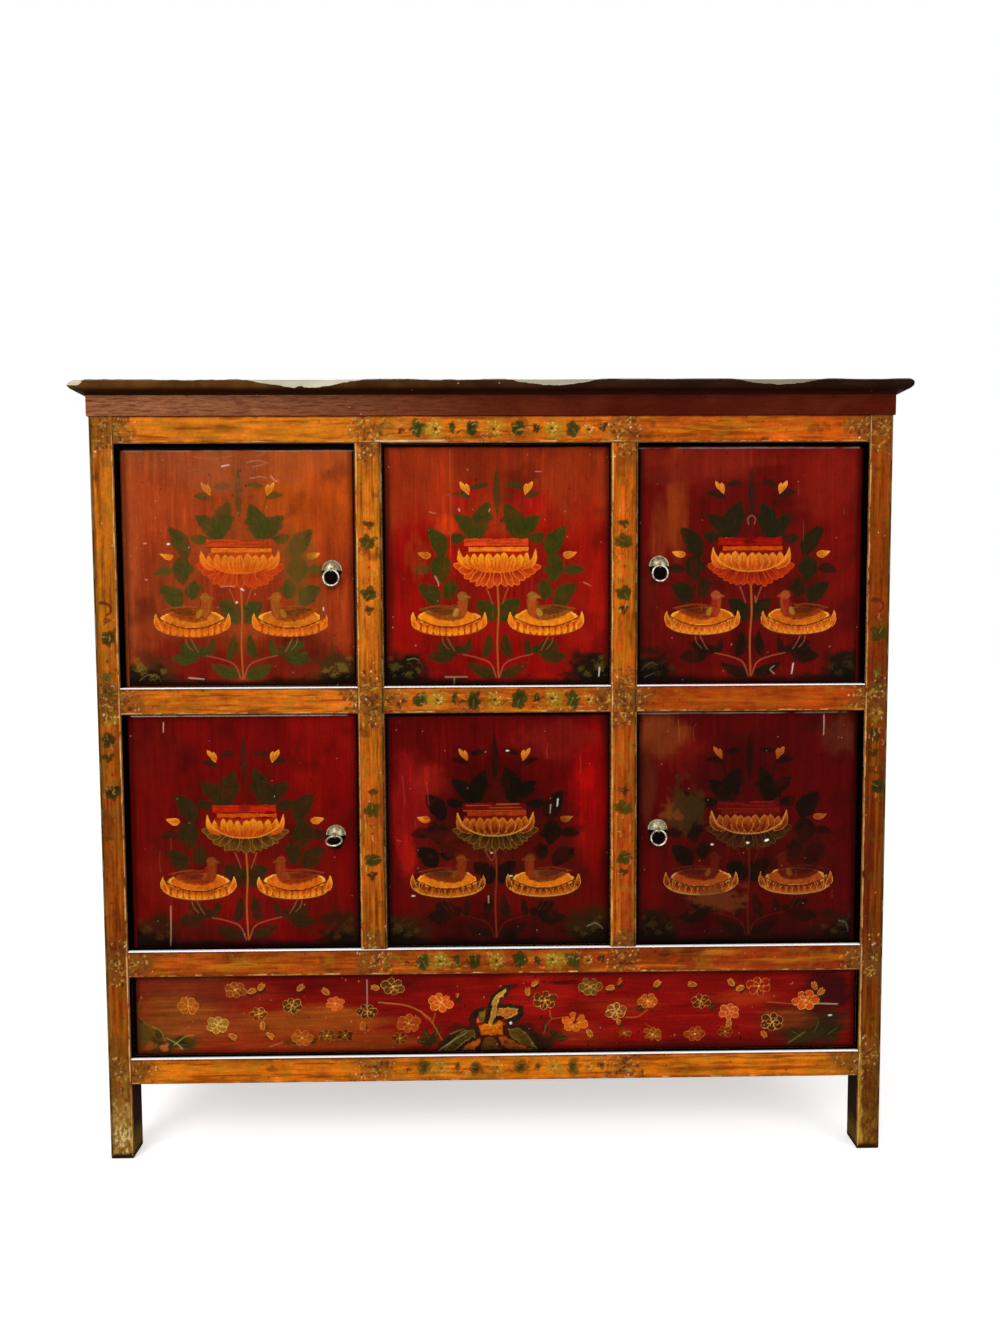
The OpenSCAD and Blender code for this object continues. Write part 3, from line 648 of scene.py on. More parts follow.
def throne(c, cx, cz, m, look, turned):
    """A side lotus that bears a duck: a bright disc seen from above, and a rim of petals under a dashed dark line."""
    at = place(cx, cz)

    def upper(x):
        return cz + 80.5 + 15 * (np.abs(x - cx) / 47) ** 2.2

    def lower(x):
        return cz + 68.6 + 8 * (np.abs(x - cx) / 47) ** 2 + 6 * (np.abs(x - cx) / 47) ** 12

    c.band(cx - 47.5, cx + 47.5, cz + 66, cz + 100, lower, upper, look.petal_deep)
    c.spot(*at(0, 93.5), 42.5, 12.8, look.disc, rough=0.04, rim=look.petal_rim)
    duck(c, cx, cz, m, look, turned)
    for t in alternate(11):
        x, foot = cx + 41 * t, cx + 41.5 * t
        c.leaf(
            (x, upper(x) + 1.0), (foot, lower(foot) - 0.2), 5.0 - 1.2 * t**2, look.petal,
            -1.5 * t, 0.58, 0.5, look.petal_line, 0.75, glow=look.petal_tip,
        )
    for t in (-1, 1):
        c.leaf(
            at(43 * t, 77), at(49 * t, 101.5), 3.8, look.petal,
            2.6 * t, 0.4, rim=look.petal_rim, rim_width=0.6, glow=look.petal_tip,
        )
    line = [(x, lower(x) + 0.3) for x in cx + 46.5 * spread(21)]
    c.stroke(line, 1.0, 1.0, look.petal_rim, look.outline)
    arc = np.array([(x, upper(x)) for x in cx + 44 * spread(13)])
    for start, end in zip(arc[:-1], arc[1:]):
        c.stroke([start, start * 0.2 + end * 0.8], 1.9, 1.5, "#3c0a06")


# Leaves of the left half, in mm from the stem's foot: tone, base, tip, half width, bow. The right half mirrors them.
LEAVES = (
    ("leaf_dim", (-38, 256), (-61, 261), 4.2, 2.0), ("leaf_dim", (-34, 270), (-12, 274), 4.0, -1.0),
    ("leaf", (-27, 199), (-59, 233), 9.8, 4.0), ("leaf", (-29, 198), (-13, 250), 11.5, -3.0),
    ("leaf", (-70, 178), (-96, 216), 11.0, 3.0), ("leaf", (-66, 203), (-42, 202), 6.5, 2.0),
    ("leaf_dim", (-92, 158), (-118, 156), 6.0, 2.0), ("leaf", (-78, 178), (-76, 141), 11.5, 2.0),
    ("leaf", (-80, 112), (-108, 138), 10.5, 3.0), ("leaf", (-66, 119), (-62, 147), 8.5, -2.0),
    ("leaf", (-3, 89), (-29, 117), 11.0, 3.5), ("leaf_low", (-58, 45), (-97, 39), 8.5, -3.0),
    ("leaf_low", (-58, 46), (-82, 59), 8.0, 2.0), ("leaf_low", (-60, 46), (-48, 52), 6.0, 1.0),
    ("leaf_low", (-44, 42), (-39, 66), 4.6, 1.0), ("leaf_low", (-18, 38), (-11, 72), 6.2, 2.5),
    ("leaf_low", (-2, 16), (-41, 31), 7.0, -3.5),
)


def lotus_leaves(c, cx, cz, look):
    """The leaves to both sides of the stem, each big one with two lobes, and the thin stems and tip above them."""
    for m in (-1, 1):
        at = place(cx, cz, -m)
        for kind, base, tip, half, bow in LEAVES:
            hue = getattr(look, kind)
            stir = c.rng.uniform(-2.2, 2.2, 4)
            base, tip = ((x + stir[i], z + stir[i + 2]) for i, (x, z) in enumerate((at(*base), at(*tip))))
            half_now = half * c.rng.uniform(1.0, 1.25)
            c.leaf(base, tip, half_now, hue, -m * bow, 0.42, 0.7, vein=hue, alpha=0.96, soft=2.0)
            if half > 7:
                x, z = base[0] * 0.45 + tip[0] * 0.55, base[1] * 0.45 + tip[1] * 0.55
                for turn in (c.rng.uniform(-0.2, 0.5), c.rng.uniform(1.6, 3.0)):
                    aim = (x - m * (half + 4) * math.cos(turn), z + (half + 3) * math.sin(turn))
                    c.leaf((x, z), aim, half * 0.5, hue, 0, 0.4, 0.6, alpha=0.8)
        c.stroke([at(-37, 258), at(-34, 244), at(-30, 225)], 2.0, 1.6, look.leaf_dim, 0.8)
    c.leaf((cx, cz + 231), (cx - 0.5, cz + 297), 5.0, look.leaf_dim, alpha=0.85)


# Twigs of the right half, in mm from the stem's foot, with their widths. The left half mirrors them.
TWIGS = (
    (((2, 11), (10, 30), (27, 38), (48, 43)), 1.5), (((15, 134), (11, 124), (7, 112)), 1.3),
    (((69, 66), (64, 56), (59, 48)), 1.2), (((76, 66), (74, 58), (67, 50)), 1.0),
)


def lotus_panel(c, cx, cz, look):
    """The stencil of all big panels: stem, leaves, buds, the lotus cup, two ducks on thrones, and corner clumps."""
    bare = c.ground.copy()
    lotus_leaves(c, cx, cz, look)
    # the leaves have thinned in patches
    c.ground = blend(c.ground, bare, 0.05 + 0.8 * look.worn * step(0.0, 0.9, c.noise(20, 20, 27)))
    for m in (-1, 1):
        at = place(cx, cz, m)
        for line, wide in TWIGS:
            c.taper([at(*point) for point in line], wide, look.twig, look.twigs)
        bud = dict(rim=look.petal_tip, rim_width=0.6, glow=look.bud_tip)
        for x, z in ((49.5 - m, 278), (41 - m, 275.5)):
            c.leaf(at(38, 259), at(x, z), 3.2, look.bud, 0, 0.62, **bud)
        c.leaf(at(90, 178), at(109, 182), 4.8, look.bud, 1.5 * m, 0.34, **bud)
        c.haze(*at(136, 18), 44, 34, look.clump, 1.0, 0.8, both=True)
        c.haze(*at(142, 8), 48, 22, "#0c0904", 0.85, 1.0, both=True)
        for x, z, r in ((138, 26, 9), (124, 15, 6), (147, 38, 5), (112, 22, 5)):
            c.haze(*at(x + c.rng.uniform(-4, 4), z), r, r * 0.8, look.clump_light, 0.45, 1.3, both=True)
        for _ in range(5):
            x, z = at(c.rng.uniform(110, 148), c.rng.uniform(8, 38))
            r, turn = c.rng.uniform(4, 10), c.rng.uniform(-1, 1)
            blade = [(x, z), (x + r * 0.5, z + r * (0.5 + 0.4 * turn)), (x + r, z + r * turn)]
            c.stroke(blade, 1.1, 0.5, look.clump_light, 0.6)
    stem = [(cx + x, cz + z) for x, z in ((0, 140), (1.5, 100), (-0.5, 60), (1, 11))]
    c.stroke(stem, 2.2, 1.8, look.stem, look.stems)
    cup_petals(c, cx, cz, look)
    for m in (-1, 1):
        throne(c, cx + m * 66.5, cz, -m, look, look.turned and m > 0)


# The tones of the motif in the six big panels, in the order of PANELS.
TONES = {
    "leaf": "#343810 #283208 #181a08 #262008 #0a0a04 #0e0a04",
    "leaf_dim": "#4c3c12 #33300c #22140a #30160a #160a04 #180804",
    "leaf_low": "#32360e #282608 #120e06 #2a1c08 #180d05 #180904",
    "clump": "#40240e #1a1006 #1a0e06 #301406 #2c1806 #1e0e06",
    "clump_light": "#78601c #5c4a14 #3c2a10 #4c2a0c #443410 #402a10",
    "petal": "#c4540a #cc5a08 #b44408 #b84808 #641c06 #641804",
    "petal_tip": "#d8781c #e8921c #d87c1c #e08c1c #b45a0e #a04c10",
    "petal_line": "#ac4408 #9c2c04 #d8842c #8c2404 #c07820 #b87424",
    "petal_rim": "#e8a030 #e8a030 #e8a030 #e8a83c #e0a038 #c89448",
    "petal_deep": "#a43804 #a43804 #942c06 #a43804 #5c1005 #54100a",
    "gap": "#a83c0c #941a04 #7c0c04 #8c1c08 #641008 #4c0806",
    "tray_dark": "#a8380e #c43c10 #980e04 #ac2006 #640806 #520608",
    "tray_light": "#cc6412 #d86c14 #b4400c #c04808 #902a0a #5c120a",
    "tray_line": "#7c1406 #7c1406 #5c0804 #7c1406 #a85018 #841c0c",
    "fringe": "#ac360c #c0400c #a42c0a #5c3c10 #4c2c0a #34200c",
    "fringe_dark": "#9c2c08 #901c04 #780c04 #3c1804 #1c0e06 #1c0a04",
    "fringe_rim": "#bc4c14 #e07424 #b84414 #80601c #6c5418 #4c3812",
    "disc": "#bc6412 #d87610 #bc5c0c #c45c0c #c8680f #984010",
    "stem": "#a8541c #a8541c #a8541c #a8541c #742c12 #54200f",
    "twig": "#a85038 #a85038 #a85038 #a85038 #6c2410 #5c2414",
    "bud": "#b86410 #b86410 #b86410 #b86410 #a4540c #8c3c10",
    "bud_tip": "#e0902c #e0902c #e0902c #e0902c #d88424 #a8541c",
    "duck_body": "#843204 #6c3410 #6c1c08 #7c1a0a #5c120a #4a0c06",
    "duck_neck": "#9c4c18 #a84010 #8c2010 #843410 #84300a #541208",
    "duck_head": "#96541a #84541c #94401a #78340f #6c300c #4c1408",
    "duck_wing": "#2c200c #2c200c #241206 #34180a #2c200c #240a06",
    "duck_rim": "#a8541c #a8541c #a8541c #a8541c #8c4410 #5c280c",
    "duck_breast": "#9c7420 #b89030 #9c7420 #7c4014 #6c3c14 #74400f",
}

# What else a panel's look may change: how blunt the petals are, the strength of stem, twigs, bowl line and fade,
# whether the right duck looks back, where the cup's tray is broken, and later hazes over everything.
BASE_LOOK = dict(
    blunt=0.5, twigs=0.8, stems=0.95, outline=0.5, turned=False, broken=0.0, break_at=0, veils=(), worn=0.35,
    faded=0.2,
)

# Each big panel: its ground tone, the motif's shift in mm, and under the rail above it the height of the painted black
# shadow in mm with the colour and strength of the painted highlight line below it, on the board's top edge. Then
# patches of ground (x, z and radii in percent of the face, colour, strength), its own look, and marks (points from the
# stem's foot, width, colour, strength).
PANELS = {
    "upper_left": dict(
        ground="#8f3812", shift=-1.5, head=(7.6, "#8c7870", 0.55),
        haze=(
            (8, 95, 45, 35, "#8c4018", 0.9), (20, 75, 30, 30, "#923410", 0.8), (85, 85, 30, 35, "#a6440c", 0.95),
            (90, 55, 16, 40, "#a43c0c", 0.8), (12, 35, 14, 40, "#842c10", 0.7), (25, 8, 30, 12, "#6c1206", 0.9),
            (75, 12, 30, 16, "#601006", 0.9), (30, 12, 30, 12, "#680c06", 0.7), (50, 40, 30, 14, "#8c200a", 0.7),
            (93, 35, 12, 30, "#84280c", 0.7), (50, 93, 60, 12, "#8c4420", 0.5), (2, 60, 5, 50, "#94401c", 0.6),
        ),
        look=dict(veils=((76, 47, 8, 20, "#5c4416", 0.5), (45, 85, 25, 6, "#8c4424", 0.4)), outline=0.2, worn=0.25),
        marks=(
            ([(-22, 299), (-12, 301)], 1.6, "#dcb0a0", 0.9),
            ([(-60, 312), (-30, 309), (-8, 313)], 1.0, "#a8604c", 0.6),
            ([(12, 304), (26, 307), (40, 303)], 1.2, "#bc7860", 0.7), ([(20, 298), (36, 302)], 1.0, "#c48068", 0.6),
            ([(16, 283), (30, 285), (38, 283)], 1.1, "#d08c68", 0.6),
            ([(44, 286), (50, 279), (53, 280)], 1.3, "#e0a080", 0.6), ([(-70, 292), (-52, 296)], 0.9, "#a85c40", 0.5),
            ([(24, 312), (38, 318)], 0.9, "#b46c54", 0.5), ([(-97, 195), (-95, 195)], 2.4, "#f8ece0", 0.95),
            ([(-129, 196), (-126, 196)], 2.0, "#e88070", 0.9), ([(-128, 147), (-126, 147)], 2.0, "#e08070", 0.8),
            ([(1, 134), (4, 132)], 2.0, "#f4dccc", 0.9), ([(-6, 116), (-5, 115)], 2.4, "#f0d0c0", 0.9),
            ([(112, 108), (112, 104)], 1.5, "#f0d8c8", 0.8), ([(-27, 137), (-8, 138)], 0.8, "#e0a888", 0.6),
            ([(-73, 13), (-52, 11)], 1.4, "#c8b49c", 0.8),
            ([(-140, 10), (-128, 18), (-120, 16)], 1.0, "#7c6c30", 0.7),
        ),
    ),
    "upper_centre": dict(
        ground="#860e05", shift=0.0, head=(4.5, "#4c1008", 0.0),
        haze=(
            (50, 97, 75, 16, "#742008", 0.95), (12, 85, 25, 25, "#8c2a0a", 0.85), (85, 85, 25, 25, "#882a0a", 0.85),
            (25, 72, 5, 25, "#98240a", 0.5), (28, 66, 6, 5, "#bc340e", 0.6), (12, 40, 16, 40, "#880704", 0.9),
            (90, 40, 14, 40, "#8e1006", 0.8), (50, 72, 14, 12, "#8a2a0c", 0.7), (64, 76, 10, 8, "#98100a", 0.7),
            (38, 80, 8, 5, "#980c0c", 0.7), (50, 10, 60, 12, "#780604", 0.8), (1, 50, 4, 70, "#3c0c06", 0.6),
        ),
        look=dict(turned=True, outline=0.25, worn=0.2, veils=((14, 53, 5, 10, "#8c300c", 0.4),)),
        marks=(
            ([(-64, 320), (-63, 240), (-64, 176)], 0.9, "#c8541c", 0.6),
            ([(-80, 300), (-79, 245)], 0.9, "#b8441c", 0.35), ([(-72, 12), (-42, 12)], 1.6, "#9c8468", 0.8),
            ([(-60, 12), (-60, 2)], 2.2, "#7c6c3c", 0.8), ([(-92, 237), (-84, 235)], 0.8, "#d89070", 0.7),
            ([(140, 24), (139, 12)], 1.4, "#e8dcc8", 0.9),
            ([(-85, 150), (-81, 142), (-80, 137)], 1.2, "#e0b090", 0.7),
            ([(118, 141), (128, 136)], 1.0, "#d88060", 0.7), ([(-52, 241), (-51, 238)], 1.3, "#f0b8a8", 0.9),
            ([(-40, 294), (-39, 293)], 1.2, "#e08080", 0.9), ([(-10, 241), (-11, 237)], 1.2, "#a8a068", 0.9),
            ([(52, 291), (60, 291)], 1.2, "#d08070", 0.6),
            ([(-124, 36), (-114, 38), (-108, 35)], 1.1, "#8c8c50", 0.6),
        ),
    ),
    "upper_right": dict(
        ground="#5e0804", shift=3.5, head=(5.0, "#a08478", 0.65),
        haze=(
            (17, 80, 6, 34, "#84300c", 0.85), (9, 62, 5, 20, "#782a0e", 0.6), (3, 30, 8, 30, "#4c0e06", 0.7),
            (30, 92, 40, 10, "#701a0c", 0.8), (85, 85, 20, 20, "#741409", 0.8), (90, 40, 12, 40, "#6c0a05", 0.8),
            (50, 75, 30, 16, "#4c0805", 0.7), (20, 20, 20, 20, "#540604", 0.8), (75, 20, 25, 20, "#560604", 0.8),
        ),
        look=dict(broken=0.95, break_at=-2, outline=0.7),
        marks=(
            ([(-4, 219), (-5, 227), (0, 231), (5, 227), (4, 219)], 1.0, "#a8908c", 0.45),
            ([(6, 121), (7, 112)], 1.2, "#c87858", 0.6), ([(60, 28), (58, 14)], 1.3, "#e8e0d0", 0.8),
            ([(34, 14), (28, 20), (34, 25)], 1.1, "#b89c78", 0.7),
            ([(-150, 20), (-138, 30), (-128, 27)], 1.0, "#5c5040", 0.6),
            ([(-146, 10), (-132, 16)], 1.0, "#5c5040", 0.6),
        ),
    ),
    "lower_left": dict(
        ground="#620503", shift=-2.0, head=(1.8, "#d8ccc0", 0.85),
        haze=(
            (85, 85, 25, 30, "#780804", 0.9), (50, 85, 30, 20, "#620504", 0.8), (10, 85, 15, 20, "#540904", 0.8),
            (20, 60, 20, 30, "#620603", 0.8), (93, 50, 10, 40, "#700401", 0.8), (50, 25, 30, 20, "#740c06", 0.8),
            (10, 30, 10, 20, "#6c0e06", 0.7), (30, 6, 30, 8, "#400a05", 0.8),
        ),
        look=dict(broken=0.95, break_at=1, outline=0.7, worn=0.3),
        marks=(
            ([(-105.5, 60), (-106, 35), (-107, 2)], 1.0, "#d8a07c", 0.8),
            ([(-109, 316), (-109.4, 303)], 1.1, "#e0b090", 0.8),
        ),
    ),
    "lower_centre": dict(
        ground="#520403", shift=-4.5, head=(5.5, "#4c1008", 0.0),
        haze=(
            (10, 60, 10, 30, "#7e0c0c", 0.9), (9, 40, 5, 10, "#a01008", 0.9), (92, 65, 10, 35, "#800403", 0.95),
            (90, 72, 5, 6, "#9c0604", 0.8), (75, 88, 20, 10, "#70100a", 0.8), (20, 70, 10, 10, "#84160c", 0.6),
            (50, 60, 30, 30, "#3a0302", 0.9), (50, 6, 70, 10, "#300604", 0.85), (35, 35, 15, 10, "#640a08", 0.6),
            (10, 90, 10, 10, "#4a0402", 0.8),
        ),
        look=dict(
            blunt=0.62, stems=0.85, twigs=0.35, outline=0.95,
            veils=(
                (26, 46, 10, 6, "#541008", 0.4), (80, 55, 8, 8, "#300804", 0.5),
            ),
        ),
        marks=(
            ([(87, 206), (86, 196)], 1.5, "#e8e0d0", 0.9), ([(77, 198), (76, 186)], 1.2, "#b8b09c", 0.7),
            ([(16, 274), (19, 274)], 1.8, "#f0e0d8", 0.95), ([(-10, 70), (-10, 60)], 1.6, "#c88870", 0.8),
            ([(-116, 71), (-113, 71)], 2.0, "#f0c8b8", 0.9), ([(20, 98), (23, 98)], 2.0, "#e0d0c0", 0.9),
            ([(-6, 131), (-4, 131)], 2.4, "#e0a890", 0.8), ([(-15, 136), (-5, 120), (0, 136)], 1.0, "#9c5038", 0.6),
            ([(-137, 150), (-131, 148)], 1.0, "#c85840", 0.7), ([(-128, 240), (-125, 200)], 1.2, "#b04434", 0.4),
            ([(-95, 230), (-92, 200)], 1.4, "#a84434", 0.4), ([(128, 26), (140, 30), (150, 22)], 1.2, "#8c8068", 0.7),
        ),
    ),
    "lower_right": dict(
        ground="#480403", shift=4.7, head=(2.4, "#b09488", 0.65),
        haze=(
            (10, 90, 14, 10, "#7c3412", 0.7), (5, 70, 5, 20, "#4c1c0c", 0.7), (93, 90, 10, 10, "#562010", 0.9),
            (25, 80, 15, 10, "#600c08", 0.7), (50, 80, 25, 16, "#380504", 0.8), (85, 60, 12, 30, "#500404", 0.8),
            (10, 30, 10, 20, "#540503", 0.7), (50, 6, 60, 10, "#2a0604", 0.8),
        ),
        look=dict(
            blunt=0.7, stems=0.7, twigs=0.4, outline=0.9, worn=0.4, faded=0.3,
            veils=(
                (22, 60, 8, 10, "#38240c", 0.8), (15, 57, 4, 5, "#6c340f", 0.7), (38, 18, 12, 6, "#5c2c12", 0.7),
                (80, 42, 10, 10, "#2c0a06", 0.6),
            ),
        ),
        marks=(
            ([(102.7, 321), (103, 307), (102.7, 293)], 1.1, "#d8a080", 0.9),
            ([(-52, 140), (-50, 140)], 2.2, "#e8dcc8", 0.95), ([(-2, 142), (0, 142)], 2.6, "#f8f0e0", 0.95),
            ([(24, 145), (27, 146)], 3.0, "#ffffff", 0.95), ([(-100, 316), (-98, 285)], 1.0, "#8c4c24", 0.6),
            ([(128, 30), (138, 27), (142, 14)], 1.0, "#7c6c5c", 0.6),
        ),
    ),
}


def panel_look(name):
    """How one big panel's motif looks: its own measures over the common ones, and its column of TONES."""
    column = list(PANELS).index(name)
    tones = {part: row.split()[column] for part, row in TONES.items()}
    return SimpleNamespace(**{**BASE_LOOK, **PANELS[name]["look"], **tones})


def gap_shade_border(c, left, right, bottom, top):
    """Painted shade in the shadow gap: near-black bands along the border with a wavering edge, and a dim zone inside.
    """
    inward = [c.X - c.x[0] - left, c.x[-1] - c.X - right, c.Z - c.z[0] - bottom, c.z[-1] - c.Z - top]
    inward = np.minimum.reduce(inward) + 0.25 * c.noise(40, 40, 21)
    c.tint(0.55 * (1 - step(0.0, 9.0, inward)), "#140403")
    c.tint(1 - step(-0.6, 0.5, inward), SHADOW)


def head_shade_and_highlight(c, opening_top, deep, colour, share):
    """Under the rail above: a painted black shadow of the given depth, and below it a broken painted highlight line on
    the board's top edge.
    """
    below = opening_top - c.Z - deep + 0.3 * c.noise(30, 30, 61)
    c.tint(share * step(0.0, 0.5, below) * step(2.2, 1.4, below) * step(-0.8, 0.0, c.noise(30, 30, 62)), colour)
    c.tint(step(0.4, -0.4, below), SHADOW)


def lotus_canvas(name, face, opening, seed, bands, pull):
    """A big panel's picture: ground patches, brush streaks, the lotus stencil, wear, dirt, scratches, specks and
    painted light and shade.
    """
    plan, look = PANELS[name], panel_look(name)
    (x0, x1, z0, z1), (bottom, top) = face, opening
    c = Canvas(*face, PANEL_PITCH, seed, plan["ground"])
    at = place((x0 + x1) / 2 + 0.5 + plan["shift"], bottom)

    def patches(rows, rough=0.5, both=False):
        w, h = x1 - x0, z1 - z0
        for *percent, colour, share in rows:
            u, v, ru, rv = (part / 100 for part in percent)
            c.haze(x0 + u * w, z0 + v * h, ru * w, rv * h, colour, share, rough, both)

    # ground patches; the brownish ones high on the board stand partly for a painted sheen
    patches(plan["haze"])
    dark = c.ground.copy()
    c.weave((0.14, 5, 60, 31), (0.16, 30, 45, 33), (0.08, 2.2, 2.2, 35))
    c.ground *= (1 + 0.35 * step(0.3, 0.9, c.noise(4, 80, 37)) * step(0.0, 0.6, c.noise(60, 60, 38)))[..., None]
    c.tint(0.45 * step(0.3, 0.9, c.noise(50, 50, 39)), "#2c0604", both=False)
    for m in (-1, 0, 1):
        c.haze(*at(80 * m, 150 - 40 * abs(m)), 60, 100, look.clump, 0.2)
    lotus_panel(c, *at(0, 0), look)
    # wear: the motif thins in patches, and fades towards the ground
    c.cover -= 1.6 * step(0.6, 1.1, c.noise(28, 28, 41)) + 0.9 * step(0.5, 1.0, c.noise(9, 9, 43))
    c.paint = blend(c.paint, dark, look.faded * (0.3 + 0.7 * step(-0.1, 0.8, c.noise(30, 30, 45))))
    patches(look.veils, 1.4, both=True)
    # painted shade: near-black along the bottom of the board, above the sill
    c.tint(0.95 * (1 - step(3, 17, c.Z - bottom + 5 * c.noise(40, 14, 47))), "#0e0703")
    for points, *brush in plan["marks"]:
        c.taper([at(*point) for point in points], *brush)
    for _ in range(4):
        x, z, r = c.rng.uniform(x0 + 15, x1 - 15), c.rng.uniform(z0 + 60, z1 - 40), c.rng.uniform(8, 30)
        c.stroke([(x, z), (x + c.rng.uniform(-2, 2), z + r / 2), (x, z + r)], 0.8, 0.5, "#a8583c", 0.3)
    # round the pull: a soft dark halo, partly dirt from hands and partly painted shade, and a near-black spot of
    # painted shadow that shows inside the ring
    if pull:
        c.haze(*pull, 14, 18, "#0a0503", 0.7, 0.6, both=True)
        c.spot(*pull, 9.6, 9.6, "#030202", rough=0.05)
    c.flecks(7, "#d8a08c", 0.55, 0.6)
    c.flecks(16, "#080403", 1.1, 0.6)
    # painted shade along the borders, in the gap round the board
    gap_shade_border(c, *bands)
    # painted shadow under the rail above, and a painted highlight line on the board's top edge
    head_shade_and_highlight(c, top, *plan["head"])
    return c


PINTLE = 12.0                                     # mm, how far a door's pintles stand past its leaf in the door's box
RIM = 0.6                                         # mm, the bare edge of a door's leaf
JAMB = 9                                          # mm, from a post to a door's painting
RING_HANG = 11.7                                  # mm, from a ring's top to the middle of the painted shadow spot behind it
# Width in mm of the painted shade bands along the borders of each column's paintings: left, right, bottom, top.
BORDERS = {"left": (-1.0, 2.2, 1.6, -3.0), "centre": (3.0, 1.8, 2.2, -3.0), "right": (3.0, -1.0, 1.6, -3.0)}


def door_face(tag):
    """The painted part of a door in mm, x then z: its leaf without the pintles, and clear of the post beside it."""
    lo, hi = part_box("door_" + tag)
    clear = POST_IN / MM - JAMB
    across = (max(lo.x / MM + RIM, -clear), min(hi.x / MM - RIM, clear))
    return (*across, lo.z / MM + PINTLE + RIM, hi.z / MM - PINTLE - RIM)


for tier, (low, high) in TIERS.items():
    for k, side in enumerate(BORDERS):
        tag, seed = f"{tier}_{side}", 100 + 10 * k + 5 * (tier == "lower")
        body, pull = "cabinet", None
        face = (MULLION_L[1].x / MM + GAP, MULLION_R[0].x / MM - GAP, low + GAP, high - GAP)
        if side in SIDE_NAMES:
            body, face, ring = "door_" + tag, door_face(tag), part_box("ring_" + tag)
            pull = ((ring[0].x + ring[1].x) / 2 / MM, ring[1].z / MM - RING_HANG)
        canvas = lotus_canvas(tag, face, (low, high), seed, BORDERS[side], pull)
        skin("painting_" + tag, canvas, PANEL_Y, body, PANEL_PAINT)


# ---- the apron's blossoms and rocks
# The apron's patches of ground: x in mm from its middle, z as a share of its height, radii in mm, colour, strength.
APRON_HAZE = (
    (-430, 0.8, 90, 40, "#6c2410", 0.9), (-450, 0.35, 80, 50, "#7c3e10", 0.85), (-350, 0.3, 110, 34, "#8c3812", 0.8),
    (-340, 0.75, 60, 24, "#701c0c", 0.8), (-250, 0.42, 110, 22, "#8c4410", 0.75),
    (-300, 0.1, 160, 16, "#84280c", 0.8), (-200, 0.85, 130, 24, "#5c0905", 0.8),
    (-190, 0.15, 120, 20, "#7c300c", 0.8), (-60, 0.5, 70, 50, "#7e0c06", 0.8), (60, 0.75, 60, 40, "#8c100a", 0.9),
    (130, 0.2, 60, 20, "#7c240c", 0.7), (200, 0.5, 90, 60, "#7a0a06", 0.9), (180, 0.55, 60, 14, "#94280c", 0.5),
    (320, 0.5, 90, 50, "#780c07", 0.8), (350, 0.62, 60, 12, "#942a0e", 0.6), (440, 0.25, 70, 36, "#2c1a0a", 0.9),
    (470, 0.7, 50, 40, "#38080a", 0.9), (410, 0.36, 46, 18, "#6c2c0c", 0.8), (300, 0.06, 200, 10, "#4c0a06", 0.7),
)
# From here on x and z are in mm from the middle of the apron's lower edge. Soft stains: place, radii, colour, strength.
APRON_STAINS = (
    (-490, 30, 22, 26, "#4a3a10", 0.9), (-468, 14, 26, 16, "#2e2c0c", 0.95), (-436, 18, 26, 12, "#34300c", 0.9),
    (-484, 12, 10, 8, "#8c4018", 0.8), (-466, 10, 7, 8, "#c06030", 0.7), (-285, 16, 12, 10, "#3c2c0a", 0.8),
    (-92, 16, 16, 12, "#24200a", 0.95), (-60, 12, 26, 12, "#2a1f08", 0.95), (60, 12, 24, 13, "#241a08", 0.95),
    (88, 20, 12, 7, "#3a2e0c", 0.9), (96, 98, 22, 4, "#280806", 0.8), (20, 92, 14, 4, "#2c0806", 0.7),
    (-150, 98, 40, 5, "#3c0a06", 0.6), (470, 30, 30, 26, "#241c0a", 0.9), (440, 16, 34, 12, "#2c240c", 0.9),
    (478, 80, 20, 20, "#2c0c0a", 0.7),
)
# Dark leaves: foot, direction in radians, length.
APRON_LEAVES = (
    (-95, 20, 2.2, 15), (-86, 22, 1.3, 17), (-100, 14, 3.0, 12), (68, 24, 1.5, 18), (74, 20, 0.7, 14),
    (86, 16, 0.1, 15), (60, 18, 2.4, 12), (-450, 18, 0.5, 16), (-446, 14, 0.0, 18), (-470, 24, 2.0, 14),
    (-285, 14, 1.0, 13), (-262, 17, 0.2, 10), (430, 16, 2.6, 18), (450, 22, 1.2, 20), (468, 18, 0.6, 20),
    (300, 58, 0.5, 12), (208, 62, 3.6, 12),
)
